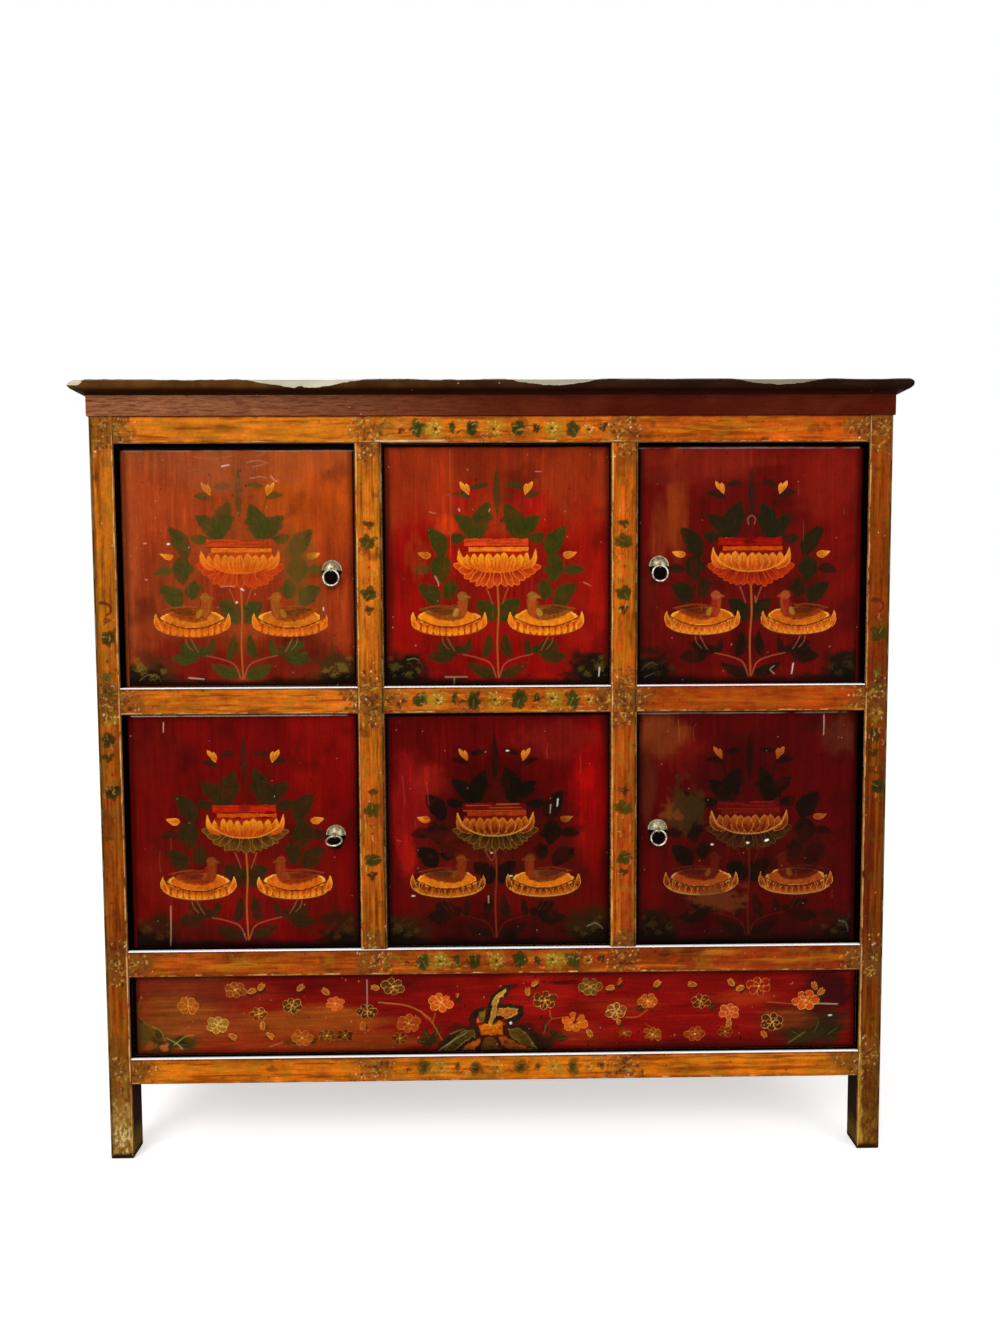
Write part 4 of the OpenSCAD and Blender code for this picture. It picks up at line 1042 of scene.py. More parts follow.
# Rocks and the leaning trunk in the middle: outline, colour and rim, dark outlines first, then their lit faces.
ROCKS = (
    ([(-89, 0), (-65, 26), (-50, 33), (-30, 37), (-22, 25), (-48, 8), (-53, -1)], "#1e1608", None),
    ([(-74, 2), (-60, 19), (-48, 29), (-33, 32), (-30, 24), (-48, 11), (-59, 2)], "#463810", "#7c6c28"),
    ([(-52, 1), (-40, 12), (-22, 21), (-21, 17), (-23, 8), (-32, 1)], "#9c4c10", "#2c1206"),
    ([(13, 37), (37, 37), (52, 25), (73, -2), (36, -2), (19, 16)], "#201608", None),
    ([(17, 32), (33, 32), (44, 22), (50, 11), (59, 1), (44, 1), (30, 13), (19, 23)], "#4c380e", "#80682c"),
    ([(2, 21), (14, 21), (27, 13), (43, 7), (46, 0), (16, 1), (6, 7)], "#8c400c", "#2c1206"),
    ([(-23, 0), (-20, 18), (-10, 22), (0, 18), (3, 7), (16, 0)], "#54300c", "#200c06"),
    ([(-39, 37), (-39, 49), (-32, 61), (-16, 64), (-14, 58), (-24, 53), (-29, 43), (-27, 31),
      (-33, 32)], "#20160a", None), ([(-27, 48), (-23, 56), (-16, 59), (-16, 46), (-22, 40)], "#6c5418", None),
    ([(-1, 68), (22, 68), (37, 65), (39, 53), (30, 40), (16, 37), (11, 46), (-1, 43)], "#21170a", None),
    ([(-1, 61), (14, 62), (30, 60), (30, 54), (22, 49), (13, 46), (7, 50), (-1, 50)], "#b0601c", "#d89848"),
    ([(-2, 51), (6, 52), (11, 48), (7, 44), (-1, 45)], "#0e0804", None),
    ([(-25, 38), (-19, 39), (-16, 43), (-4, 40), (3, 44), (9, 41), (9, 23), (-23, 23)], "#c46408", "#a03c0c"),
    ([(-18, 40), (-13, 64), (-7, 80), (6, 91), (22, 96), (20, 88), (12, 78), (4, 68), (-1, 46),
      (-3, 37)], "#22170a", None),
    ([(-12, 36), (-7, 53), (-6, 71), (2, 82), (13, 89), (14, 85), (4, 75), (0, 63), (-1, 50),
      (-7, 37)], "#ac7420", "#c89c48"),
)
# Twigs and scratches: points, width, colour, strength.
APRON_LINES = (
    ([(-82, 1), (-68, 11), (-56, 19), (-42, 27)], 1.6, "#8c8450", 0.9),
    ([(-65, 25), (-53, 30), (-47, 32)], 2.0, "#7c6420", 0.7),
    ([(-496, 84), (-500, 64), (-494, 48), (-480, 40)], 2.2, "#6c5018", 0.8),
    ([(-480, 40), (-470, 34), (-464, 20)], 2.4, "#8c6c1c", 0.6),
    ([(-452, 14), (-436, 26), (-424, 28)], 1.6, "#8c8430", 0.8),
    ([(-440, 8), (-448, 16), (-462, 24)], 1.6, "#9c9448", 0.8),
    ([(412, 6), (424, 14), (436, 22)], 2.0, "#6c6030", 0.7), ([(430, 60), (450, 63), (482, 62)], 1.6, "#c8a880", 0.8),
    ([(383, 66), (420, 63), (450, 62)], 1.2, "#a86840", 0.6), ([(470, 46), (474, 46)], 1.8, "#e8e0d0", 0.9),
    ([(-107, 59), (-99, 50), (-90, 41), (-77, 17)], 1.4, "#b0602c", 0.8),
    ([(-90, 41), (-86, 56)], 1.4, "#a85c28", 0.8),
    ([(-165, 72), (-132, 68), (-112, 61), (-92, 47)], 1.6, "#a86c34", 0.85),
    ([(75, 57), (78, 46), (96, 48)], 1.2, "#b05c2c", 0.7), ([(78, 46), (70, 35), (66, 24)], 1.2, "#a84c2c", 0.6),
    ([(182, 46), (199, 47), (213, 57)], 1.2, "#b86c30", 0.7), ([(210, 37), (220, 30)], 1.2, "#a84c24", 0.6),
    ([(-181, 104), (-181, 66)], 1.0, "#c8b0a0", 0.7), ([(-318, 10), (-300, 16)], 1.4, "#b87040", 0.7),
)
# Blossoms: place, radius, petals' colour, outline's colour.
BLOSSOMS = (
    (-431, 70, 12.5, "#a4500f", "#d88c34"), (-365, 92, 12.5, "#7c3810", "#c87c2c"),
    (-391, 42, 13, "#94641c", "#e0b458"), (-333, 57, 10, "#642408", "#d0903c"),
    (-286, 69, 11.5, "#4c240c", "#c89438"), (-226, 71, 10, "#b84c1c", "#dc8434"),
    (-273, 22, 12, "#94480f", "#c07020"), (-238, 25, 10, "#5c2c08", "#9c6820"), (-213, 25, 9, "#481808", "#8c5818"),
    (-181, 59, 11, "#481c08", "#c48c3c"), (-145, 94, 12.5, "#5c2c10", "#c89040"),
    (-124, 41, 13.5, "#94380f", "#cc742c"), (-136, 20, 9, "#541c08", "#a8641c"), (-78, 71, 14, "#c4500f", "#e89c48"),
    (68, 72, 14, "#54240a", "#d89c3c"), (132, 91, 13.5, "#5c3c14", "#b88c3c"), (110, 40, 14, "#b45210", "#dc8a30"),
    (168, 55, 12, "#7c3c10", "#e0b860"), (213, 69, 11, "#9c3c10", "#d8882c"), (180, 24, 8.5, "#6c2808", "#a8601c"),
    (220, 21, 11, "#7c3c0c", "#b87424"), (280, 21, 11, "#842c0a", "#bc6420"), (288, 68, 11, "#481c0a", "#cc8c38"),
    (329, 53, 11.5, "#b04418", "#e4904c"), (323, 24, 9, "#641c08", "#9c581c"), (370, 89, 14, "#841c08", "#d07c2c"),
    (390, 37, 13.5, "#4c1c0a", "#c89448"), (436, 68, 14.5, "#b8480f", "#e49a48"),
)
# Buds: place, direction in radians.
BUDS = (
    (-342, 90, 0.3), (-329, 96, 0.9), (-328, 40, -1.7), (-318, 26, -0.7), (-274, 94, 0.7), (-239, 88, 2.4),
    (-188, 38, -1.6), (-170, 93, 3), (-55, 81, 1.5), (-370, 25, -0.6), (44, 85, 1.7), (54, 97, 0.9), (160, 89, 0.2),
    (173, 97, 0.9), (172, 38, -1.5), (226, 94, 0.8), (131, 24, -1.1), (276, 93, 3), (328, 36, -1.6), (343, 87, 3.4),
    (331, 95, 2.2), (378, 19, -1), (449, 89, 1.9), (458, 80, 0.8),
)


def blossom(c, x, z, r, petal, line, turn):
    """A plum blossom: six overlapping petals with thin light outlines, four small inner ones, and a light heart."""
    r = 1.36 * r
    for reach, half, count, spin in ((1.0, 0.34, 6, 0.0), (0.52, 0.19, 4, 0.5)):
        for k in range(count):
            a = turn + spin + k * 2 * math.pi / count
            long = reach * r * c.rng.uniform(0.88, 1.06)
            tip = (x + long * math.cos(a), z + 0.76 * long * math.sin(a))
            c.leaf((x, z), tip, half * r * (0.8 + 0.2 * abs(math.cos(a))), petal, 0, 0.66, 0.5, line, 0.7)
    c.spot(x, z, 0.1 * r, 0.08 * r, "#d8a040")


def bud(c, x, z, a):
    """Two small petals side by side on a dark stain."""
    dx, dz = 6.5 * math.cos(a), 6.5 * math.sin(a)
    c.leaf((x - 0.6 * dx - 3, z - 0.6 * dz - 4), (x + 7, z - 3), 4.0, "#2c1c08", alpha=0.8)
    for side in (-1, 1):
        tip = (x + dx - side * dz / 3, z + dz + side * dx / 3)
        c.leaf((x - dx, z - dz), tip, 2.9, "#9c4c10", end=0.6, rim="#d08c38", rim_width=0.6)


def apron_canvas():
    """The apron: red ground hazed with olive, blossoms and buds on twigs, and rocks in the middle and at both ends."""
    half, z0, z1 = POST_IN / MM - GAP, APRON[0] + GAP, APRON[1] - GAP
    c = Canvas(-half, half, z0, z1, APRON_PITCH, 300, "#6e0a05")
    at = place(0, z0)
    for x, z, *patch in APRON_HAZE:
        c.haze(*at(x, z * (z1 - z0)), *patch)
    c.weave((0.2, 50, 3, 31), (0.18, 45, 20, 33), (0.1, 2.2, 2.2, 35))
    c.ground *= (1 + 0.4 * step(0.3, 0.9, c.noise(70, 4, 37)))[..., None]
    for x, z, *patch in APRON_STAINS:
        c.haze(*at(x, z), *patch, 0.9, both=True)
    for x, z, a, r in APRON_LEAVES:
        tip = at(x + r * math.cos(a), z + r * math.sin(a))
        c.leaf(at(x, z), tip, 4.2, "#26200a", end=0.6, vein="#544818", alpha=0.9)
    for x, z, r in ((-4, 20, 62), (-48, 12, 40), (48, 12, 44)):
        c.haze(*at(x, z), r, 26, "#2a0c06", 0.85, 0.7, both=True)
    for points, *tones in ROCKS:
        c.shape([at(*point) for point in points], *tones)
    for points, *brush in APRON_LINES:
        c.taper([at(*point) for point in points], *brush)
    for k, (x, z, *petals) in enumerate(BLOSSOMS):
        blossom(c, *at(x, z), *petals, turn=k * 0.7)
    for x, z, a in BUDS:
        bud(c, *at(x, z), a)
    c.spot(*at(-26, 44), 1.7, 3.5, "#c85c44")
    c.spot(*at(20, 40), 2.0, 2.0, "#f8e8e0")
    for x, z, rx, rz in ((-40, 28, 30, 16), (-2, 60, 24, 22), (26, 24, 34, 20), (24, 56, 16, 10)):
        c.haze(*at(x, z), rx, rz, "#3c1a0a", 0.24, 1.0, both=True)
    c.cover -= 1.8 * step(0.5, 1.0, c.noise(40, 22, 41)) + 0.9 * step(0.5, 1.0, c.noise(9, 9, 43))
    c.paint = blend(c.paint, c.ground, 0.25 * step(-0.2, 0.8, c.noise(60, 30, 45)))
    c.flecks(40, "#d8a078", 0.6, 0.6)
    c.flecks(40, "#080403", 1.2, 0.6)
    # painted shade along the borders, in the gap round the board
    gap_shade_border(c, 5.2, 2.0, 1.6, 2.2)
    return c


skin("painting_apron", apron_canvas(), PANEL_Y, "cabinet", APRON_PAINT)


# ---- the frame's ochre faces and scrolls
def ochre(c, along):
    """The frame's ground: ochre that reddens to the right and darkens downwards, streaked, with brown rubbed places."""
    right, down = step(-350, 540, c.X), step(960, 260, c.Z)
    upper, lower = blend(tone("#bc6614"), "#ab460a", right), blend(tone("#9c440c"), "#842c0b", right)
    c.ground = blend(blend(upper, lower, down), "#b45c0c", step(250, 140, c.Z))
    wide, tall = (70, 4) if along == "x" else (4, 70)
    c.weave((0.30, wide, tall, 51), (0.26, 40, 40, 53), (0.20, wide * 0.2, tall, 55), (0.14, 3.4, 3.4, 56))
    for share, low, high, patch, colour in (
        (0.5, 0.1, 0.8, (wide * 1.2, tall * 1.6, 57), "#cc7a14"),
        (0.7, 0.2, 0.7, (wide * 0.7, tall * 0.8, 59), "#742c04"),
        (0.35, 0.1, 0.7, (16, 14, 60), "#8c6410"),
        (0.6, 0.6, 1.0, (22, 18, 61), "#5c2c0c"),
    ):
        c.tint(share * step(low, high, c.noise(*patch)), colour)


def rubbed_and_lit_border(c, along, flip):
    """The long borders: brown dirt, in places a pale line of rubbing and painted highlight on the lit side, and a
    dark olive or red edge of painted shade opposite.
    """
    across = along == "x"
    lit, shaded = (c.Z - c.z[0], c.z[-1] - c.Z) if across else (c.X - c.x[0], c.x[-1] - c.X)
    if flip:
        lit, shaded = shaded, lit
    patch, broken = c.noise(22, 22, 71), c.noise(12, 12, 75)
    dirt = 1 - step(0, 5, np.minimum(lit, shaded))
    c.tint(0.5 * dirt * step(-0.5, 0.5, c.noise(30, 30, 73)), "#5c2c0c")
    # on an upright, painted shade: an olive band along the shaded side
    if not across:
        c.tint(0.55 * (1 - step(1.0, 6.5, shaded + 1.5 * broken)), "#54400f")
    # a pale line in places on the lit side: partly rubbing, partly a painted highlight
    rubbed = step(-0.1, 0.5, broken) if across else step(-0.9, -0.1, broken)
    c.tint(0.85 * (1 - step(0.3, 1.5, lit + 0.8 * patch)) * rubbed, "#e8b068")
    # painted shade: a dark edge along the shaded side
    c.tint(0.8 * (1 - step(0.9, 1.9, shaded + 0.5 * patch)), "#540f06" if across else "#2c1c08")
    if not across:
        c.tint(0.6 * (1 - step(0.2, 0.9, shaded)) * step(0.0, 0.4, patch), "#b0a078")


def joint_wear(c, x, z, r, share):
    """Where members meet: brown bare wood with dark purple stains and yellowish flakes."""
    c.haze(x, z, r, r, "#6c4014", share, 1.2, both=True)
    for k in range(int(r * 1.1)):
        a, far = c.rng.uniform(0, 6.28), c.rng.uniform(0, 0.9) * r
        px, pz = x + far * math.cos(a), z + far * math.sin(a)
        bend = (px + c.rng.uniform(-5, 5), pz + c.rng.uniform(-4, 4))
        end = (px + c.rng.uniform(-9, 9), pz + c.rng.uniform(-6, 6))
        c.stroke([(px, pz), bend, end], 1.8, 0.6, "#401012" if k % 3 else "#b48c38", 0.6)
    area = (x - r, x + r, z - r, z + r)
    for often, *fleck in ((1.2, "#4c1810", 1.5, 0.6), (0.8, "#c09038", 1.0, 0.7), (0.3, "#e8c8a0", 0.7, 0.8)):
        c.flecks(int(r * often), *fleck, area)


# Ornaments of the frame, in mm along the member from its middle: kind, place along and across, size along and
# across, colour.
ORNAMENTS = {
    "rail": (
        ("curl", -143, 1, 22, 15, "#6c6418"), ("tuft", -124, -2, 10, 9, "#5c1c08"),
        ("clump", -102, 1, 24, 25, "#34360e"), ("haze", -80, 0, 16, 14, "#8c7c1c"),
        ("flower", -78, 0, 16, 16, "#b08c30"), ("clump", -55, 2, 11, 17, "#38300e"),
        ("vine", -42, -4, 18, 3, "#2c1406"), ("clump", -29, 0, 23, 25, "#2a2c0a"),
        ("flower", 0, 0, 20, 22, "#dc9434"), ("vine", 16, -5, 14, 3, "#5c240a"), ("clump", 33, 0, 24, 26, "#2e300c"),
        ("clump", 57, 1, 10, 16, "#34280a"), ("vine", 66, 1, 12, 2, "#2c1406"), ("haze", 82, 0, 16, 14, "#8c7c1c"),
        ("flower", 78, 1, 16, 16, "#b48c2c"), ("clump", 106, 0, 24, 27, "#34360e"),
        ("flower", 128, -1, 12, 12, "#b8641c"), ("tuft", 147, 2, 18, 14, "#3c1c08"),
    ),
    "mullion": (
        ("tuft", 57, 0, 14, 17, "#4a2808"), ("clump", 34, 0, 24, 25, "#443608"), ("rust", 20, -4, 10, 6, "#8c2408"),
        ("dot", 0, 0, 4, 4, "#a01808"), ("rust", -18, -5, 10, 6, "#8c2408"), ("clump", -36, 0, 24, 24, "#3c3208"),
        ("tuft", -58, 0, 14, 17, "#3c2208"),
    ),
    "post": (
        ("curl", 128, 0, 18, 14, "#5c1c0a"), ("tuft", 112, 0, 12, 12, "#6c2c0a"), ("clump", 90, 2, 24, 25, "#3c3008"),
        ("dot", 58, 0, 5, 5, "#8c1c08"), ("tuft", 36, 0, 16, 20, "#544410"), ("clump", 16, 0, 22, 24, "#463810"),
        ("haze", -14, 0, 20, 15, "#5c3008"), ("flower", -20, 0, 18, 18, "#94601c"),
        ("clump", -50, -2, 22, 22, "#3a280a"), ("tuft", -73, -2, 14, 18, "#3c2408"), ("dot", -97, 2, 5, 5, "#8c1c08"),
        ("clump", -121, 4, 24, 23, "#2c280a"), ("rust", -136, 0, 10, 8, "#7c2008"),
    ),
}
# Half the length and breadth in mm over which each kind of member is scribbled, and how densely.
SCRIBBLES = {"rail": (152, 12, 0.3), "mullion": (66, 11, 0.16), "post": (136, 10, 0.16)}


def leaf_clump(c, at, s, t, long, broad, hue, count, fade):
    """A soft clump or tuft of leaves round one place, with three thin lines in it."""
    for k in range(count):
        a, far = k * 2.4 + s, c.rng.uniform(0.32, 0.58)
        u, v = far * math.cos(a), far * math.sin(a)
        foot, tip = at(s - 0.35 * u * long, t - 0.35 * v * broad), at(s + u * long, t + v * broad)
        half = c.rng.uniform(0.15, 0.24) * min(long, broad)
        c.leaf(foot, tip, half, hue, 0, 0.6, 0.55, alpha=0.88 * fade, soft=1.1)
    for colour in ("#1c1406", "#9c8830", "#1c1406"):
        a = c.rng.uniform(0, 6.28)
        tip = at(s + 0.45 * long * math.cos(a), t + 0.45 * broad * math.sin(a))
        c.stroke([at(s, t), tip], 1.0, 0.5, colour, 0.5 * fade)


def faint_flower(c, at, s, t, long, broad, hue, fade):
    """Sixteen dabs on a spiral round a dark red heart."""
    for k in range(16):
        a, far = k * 2.4, 0.16 + 0.024 * k
        u, v = s + far * long * math.cos(a), t + far * broad * math.sin(a)
        dab = [at(u, v), at(u + 2.4 * math.cos(a + 0.7), v + 2.0 * math.sin(a + 0.7))]
        c.stroke(dab, 1.3, 0.7, (hue, "#4c280a", "#e8c078")[k % 3], 0.8 * fade)
    c.leaf(at(s - 2.2, t), at(s + 2.4, t), 2.2, "#4c0f06", end=0.5, alpha=0.9 * fade, soft=0.8)


def ornament(c, cx, cz, along, plan, fade=1.0):
    """A member's painted ornament: soft leaf clumps, faint flowers, curls and vines in the order of its list."""

    def at(s, t):
        return (cx + s, cz + t) if along == "x" else (cx + t, cz + s)

    for kind, s, t, long, broad, hue in ORNAMENTS[plan]:
        size = (long, broad) if along == "x" else (broad, long)
        half_l, half_b = 0.5 * long, 0.5 * broad
        if kind in ("clump", "tuft"):
            leaf_clump(c, at, s, t, long, broad, hue, 7 if kind == "clump" else 4, fade)
        elif kind == "flower":
            c.haze(*at(s, t), 0.6 * size[0], 0.6 * size[1], "#8c7c1c", 0.45 * fade, 1.2, both=True)
            faint_flower(c, at, s, t, long, broad, hue, fade)
        elif kind == "curl":
            half_l = math.copysign(half_l, s)
            turn = np.linspace(-0.1, 2.7, 9)
            hook = [at(s + half_l * math.cos(a), t - 0.4 * broad + 0.9 * broad * math.sin(a)) for a in turn]
            c.stroke(hook, 5.0, 2.6, hue, 0.85 * fade)
        elif kind == "vine":
            wave = [at(s - half_l, t - broad), at(s, t + broad), at(s + half_l, t - broad)]
            c.stroke(wave, 1.6, 1.2, hue, 0.8 * fade)
        elif kind == "rust":
            for k in (-1, 0, 1):
                dash = [at(s - 0.4 * long, t + k * half_b), at(s + 0.4 * long, t + 0.6 * k * broad)]
                c.stroke(dash, 1.6, 1.0, hue, 0.7 * fade)
        elif kind == "haze":
            c.haze(*at(s, t), *size, hue, 0.45 * fade, 1.2, both=True)
        else:
            c.leaf(at(s - half_l, t), at(s + half_l, t), half_b, hue, end=0.5, alpha=0.9 * fade, soft=0.8)
    # scribbled tendrils and dabs between them
    reach, breadth, often = SCRIBBLES[plan]
    for k in range(int(reach * often)):
        s, t = c.rng.uniform(-reach, reach), c.rng.uniform(-breadth, breadth)
        middle = at(s + c.rng.uniform(-1, 1), t + c.rng.uniform(-3, 3))
        tendril = [at(s - 3, t), middle, at(s + c.rng.uniform(2, 5), t)]
        c.stroke(tendril, 1.1, 0.6, ("#6c2408", "#dca040", "#4c2c0a", "#e09060")[k % 4], 0.6 * fade)


def frame_face(name, x0, x1, z0, z1, along, seed, marks, about, dim=(1.0, 1.0), flip=False):
    """One painted face of a frame member: ochre, the marks that its own function draws from about, and its borders:
    dirt, rubbing, and painted light and shade.

    The ground is dimmed by dim's shares, low down and high up.
    """
    c = Canvas(x0, x1, z0, z1, FRAME_PITCH, seed, "#b06010")
    ochre(c, along)
    c.ground *= (dim[0] + (dim[1] - dim[0]) * step(300, 900, c.Z))[..., None]
    c.paint = c.ground.copy()
    marks(c, *about)
    # the borders: dirt, rubbing, and painted light and shade
    rubbed_and_lit_border(c, along, flip)
    area = (x1 - x0) * (z1 - z0)
    c.flecks(int(area / 2600), "#e0b884", 0.55, 0.6)
    c.flecks(int(area / 1100), "#1c0c04", 0.9, 0.6)
    skin(f"face_{name}", c, FACE_Y, "cabinet", FRAME_ACROSS if along == "x" else FRAME_UP)


END_GAP, JOINT_GAP = 0.25, 0.2                    # mm, between the painted faces of members that meet
CROSSING = 36.3                                   # mm, from the upper opening down to the crossing face's lower end
FOOT = 5.0                                        # mm, bare wood under a post's painted face
in_mm, out_mm = POST_IN / MM, POST_OUT / MM
left_mullion, right_mullion = ((lo.x / MM, hi.x / MM) for lo, hi in (MULLION_L, MULLION_R))


def rail_marks(c, z, fade, ends):
    """A long rail: ornament, and wear where the mullions and posts meet it. The top rail has one chipped line."""
    ornament(c, 0, z, "x", "rail", fade)
    for x in (sum(left_mullion) / 2, sum(right_mullion) / 2):
        joint_wear(c, x, z, 24 * ends, 0.55)
    for x in (-in_mm, in_mm):
        joint_wear(c, x, z, 30 * ends, 0.8)
    if z > 900:
        c.stroke([(-158, c.z[0] + 1), (-110, c.z[0] + 1), (-66, c.z[0] + 2)], 2.4, 1.0, "#f4e0c0", 0.95)


def mid_rail_marks(c, side, x0, x1, z):
    """A short mid rail: ornament on the centre one, a red haze on the right one, and wear at both ends."""
    if side == "centre":
        ornament(c, 0, z, "x", "rail")
    if side == "right":
        c.haze((x0 + x1) / 2, z, 220, 40, "#8c3006", 0.45, 0.8, both=True)
    for x in (x0, x1):
        joint_wear(c, x, z, 26, 0.7)


def mullion_marks(c, x, low, high):
    ornament(c, x, (low + high) / 2 - 2, "z", "mullion")
    for z in (low, high):
        joint_wear(c, x, z, 24, 0.7)


def post_marks(c, side, x):
    """A front post: ornament, worn joints, and a leg of bare olive wood, blotched pale towards the floor."""
    left = side == "left"
    ornament(c, x, 640, "z", "post")
    for z, r in ((1012, 40), (643, 26), (278, 34), (125, 44)):
        joint_wear(c, x, z, r, 0.6)
    c.tint(0.8 * step(160, 60, c.Z + 26 * c.noise(16, 60, 91)), "#8c6420" if left else "#562a08")
    low = step(96, 24, c.Z + 26 * c.noise(9, 16, 93))
    c.tint(0.9 * low * step(-0.2, 0.2, c.noise(3, 5, 94)), "#d8b878" if left else "#784818")
    c.tint((0.6 if left else 0.3) * low * step(0.0, 0.4, c.noise(3, 5, 96)), "#8c7c1c")
    c.tint(0.6 * low * step(0.1, 0.5, c.noise(3, 4, 97)), "#5c3810")
    c.tint(0.7 * step(0.2, 0.8, c.noise(4, 12, 95)) * step(240, 60, c.Z), "#4a2408")
    # on the right leg, a pale line near its inner edge low down: painted highlight
    if not left:
        c.tint(0.75 * step(170, 110, c.Z) * step(8, 1, c.X - c.x[0] + 4 * c.noise(4, 7, 99)), "#b88c30")
    outer = c.X - c.x[0] if left else c.x[-1] - c.X
    c.tint(0.8 * (1 - step(0.6, 2.2, outer + 0.5 * c.noise(5, 20, 98))), "#3c0f06")
    c.tint(step(12, 6, c.Z), "#2c1606")


for name, (lo, hi), fade, ends, seed, dim in (
    ("top_rail", RAIL_TOP, 1.0, 1.0, 401, 1.0), ("lower_rail", RAIL_LOW, 1.0, 1.0, 402, 0.96),
    ("base_rail", RAIL_BASE, 0.6, 1.3, 403, 1.1),
):
    end, z0, z1 = in_mm - END_GAP, lo.z / MM, hi.z / MM
    span = (-end, end, z0 + EASE, z1 - (JOINT_GAP if name == "top_rail" else EASE))
    frame_face(name, *span, "x", seed, rail_marks, ((z0 + z1) / 2, fade, ends), (dim, dim))
z0, z1 = RAIL_MID[0].z / MM, RAIL_MID[1].z / MM
columns = zip((-in_mm, left_mullion[1], right_mullion[1]), (left_mullion[0], right_mullion[0], in_mm))
for k, (side, (x0, x1)) in enumerate(zip(BORDERS, columns)):
    span = (x0 + END_GAP, x1 - END_GAP, z0 + EASE, z1 - EASE)
    frame_face(f"mid_rail_{side}", *span, "x", 411 + k, mid_rail_marks, (side, x0, x1, (z0 + z1) / 2))
for k, (side, (x0, x1)) in enumerate(zip(SIDE_NAMES, (left_mullion, right_mullion))):
    x, across = (x0 + x1) / 2, (x0 + EASE, x1 - EASE)
    for tier, (low, high) in TIERS.items():
        span = (*across, low + JOINT_GAP, high - JOINT_GAP)
        seed = 421 + 2 * k + (tier == "lower")
        frame_face(f"mullion_{side}_{tier}", *span, "z", seed, mullion_marks, (x, low, high))
    # the mullion runs on through the mid rail's height
    span = (*across, UPPER[0] - CROSSING, UPPER[0] - JOINT_GAP)
    frame_face(f"mullion_{side}_crossing", *span, "z", 431 + k, joint_wear, (x, UPPER[0] - 18, 26, 0.9))
for k, (side, m, dim) in enumerate((("left", -1, (0.66, 0.76)), ("right", 1, (0.42, 0.5)))):
    x0, x1 = sorted((m * in_mm, m * out_mm))
    span = (x0 + EASE, x1 - EASE, FOOT, FRIEZE[0].z / MM - GAP)
    frame_face(f"post_{side}", *span, "z", 441 + k, post_marks, (side, (x0 + x1) / 2), dim, flip=m < 0)


# ---- the moulded top
COVE_RISE = 4                                     # mm, height of the hollow under the nose
COVE_INSET, NOSE_INSET, NOSE_REACH = 17.5, 0.2, 9.0
RUN_X, RUN_Y = 561, 214                           # points along the front and along an end
# Hand-worn scoops of the front edge, in mm: middle, half length, depth.
SCOOPS = (
    (-251, 88, 12.0), (81, 68, 10.5), (380, 70, 9.5), (-60, 70, 2.6), (-400, 70, 2.6), (500, 46, 3.6), (230, 40, 2.0),
)


def top_profile(bottom, top):
    """The rings of the top's moulding from the middle of its underside, over cove and nose, to the middle of its flat.

    Gives each ring's inset and height, and how far it draws in at the rear, where only the two flat faces do.
    """
    under = [(v, bottom) for v in (140, 60, 30, 20)]
    cove = [(COVE_INSET - 1.5 * a, bottom + COVE_RISE * a) for a in np.linspace(0, 1, 4)]
    radius = (top - bottom - COVE_RISE) / 2
    nose = [
        (NOSE_INSET + NOSE_REACH * (1 - math.cos(a)), bottom + COVE_RISE + radius + radius * math.sin(a))
        for a in np.linspace(-0.5 * math.pi, 0.5 * math.pi, 17)
    ]
    flat = [(v, top) for v in (11.5, 14, 17, 20, 24, 28, 33, 38, 46, 60, 90, 140)]
    inset, height = np.array(under + cove + nose + flat).T[:, :, None]
    rear = [v - COVE_INSET for v, _ in under] + [0] * len(cove + nose) + [v - NOSE_INSET - NOSE_REACH for v, _ in flat]
    return inset, height, np.array(rear)[:, None]


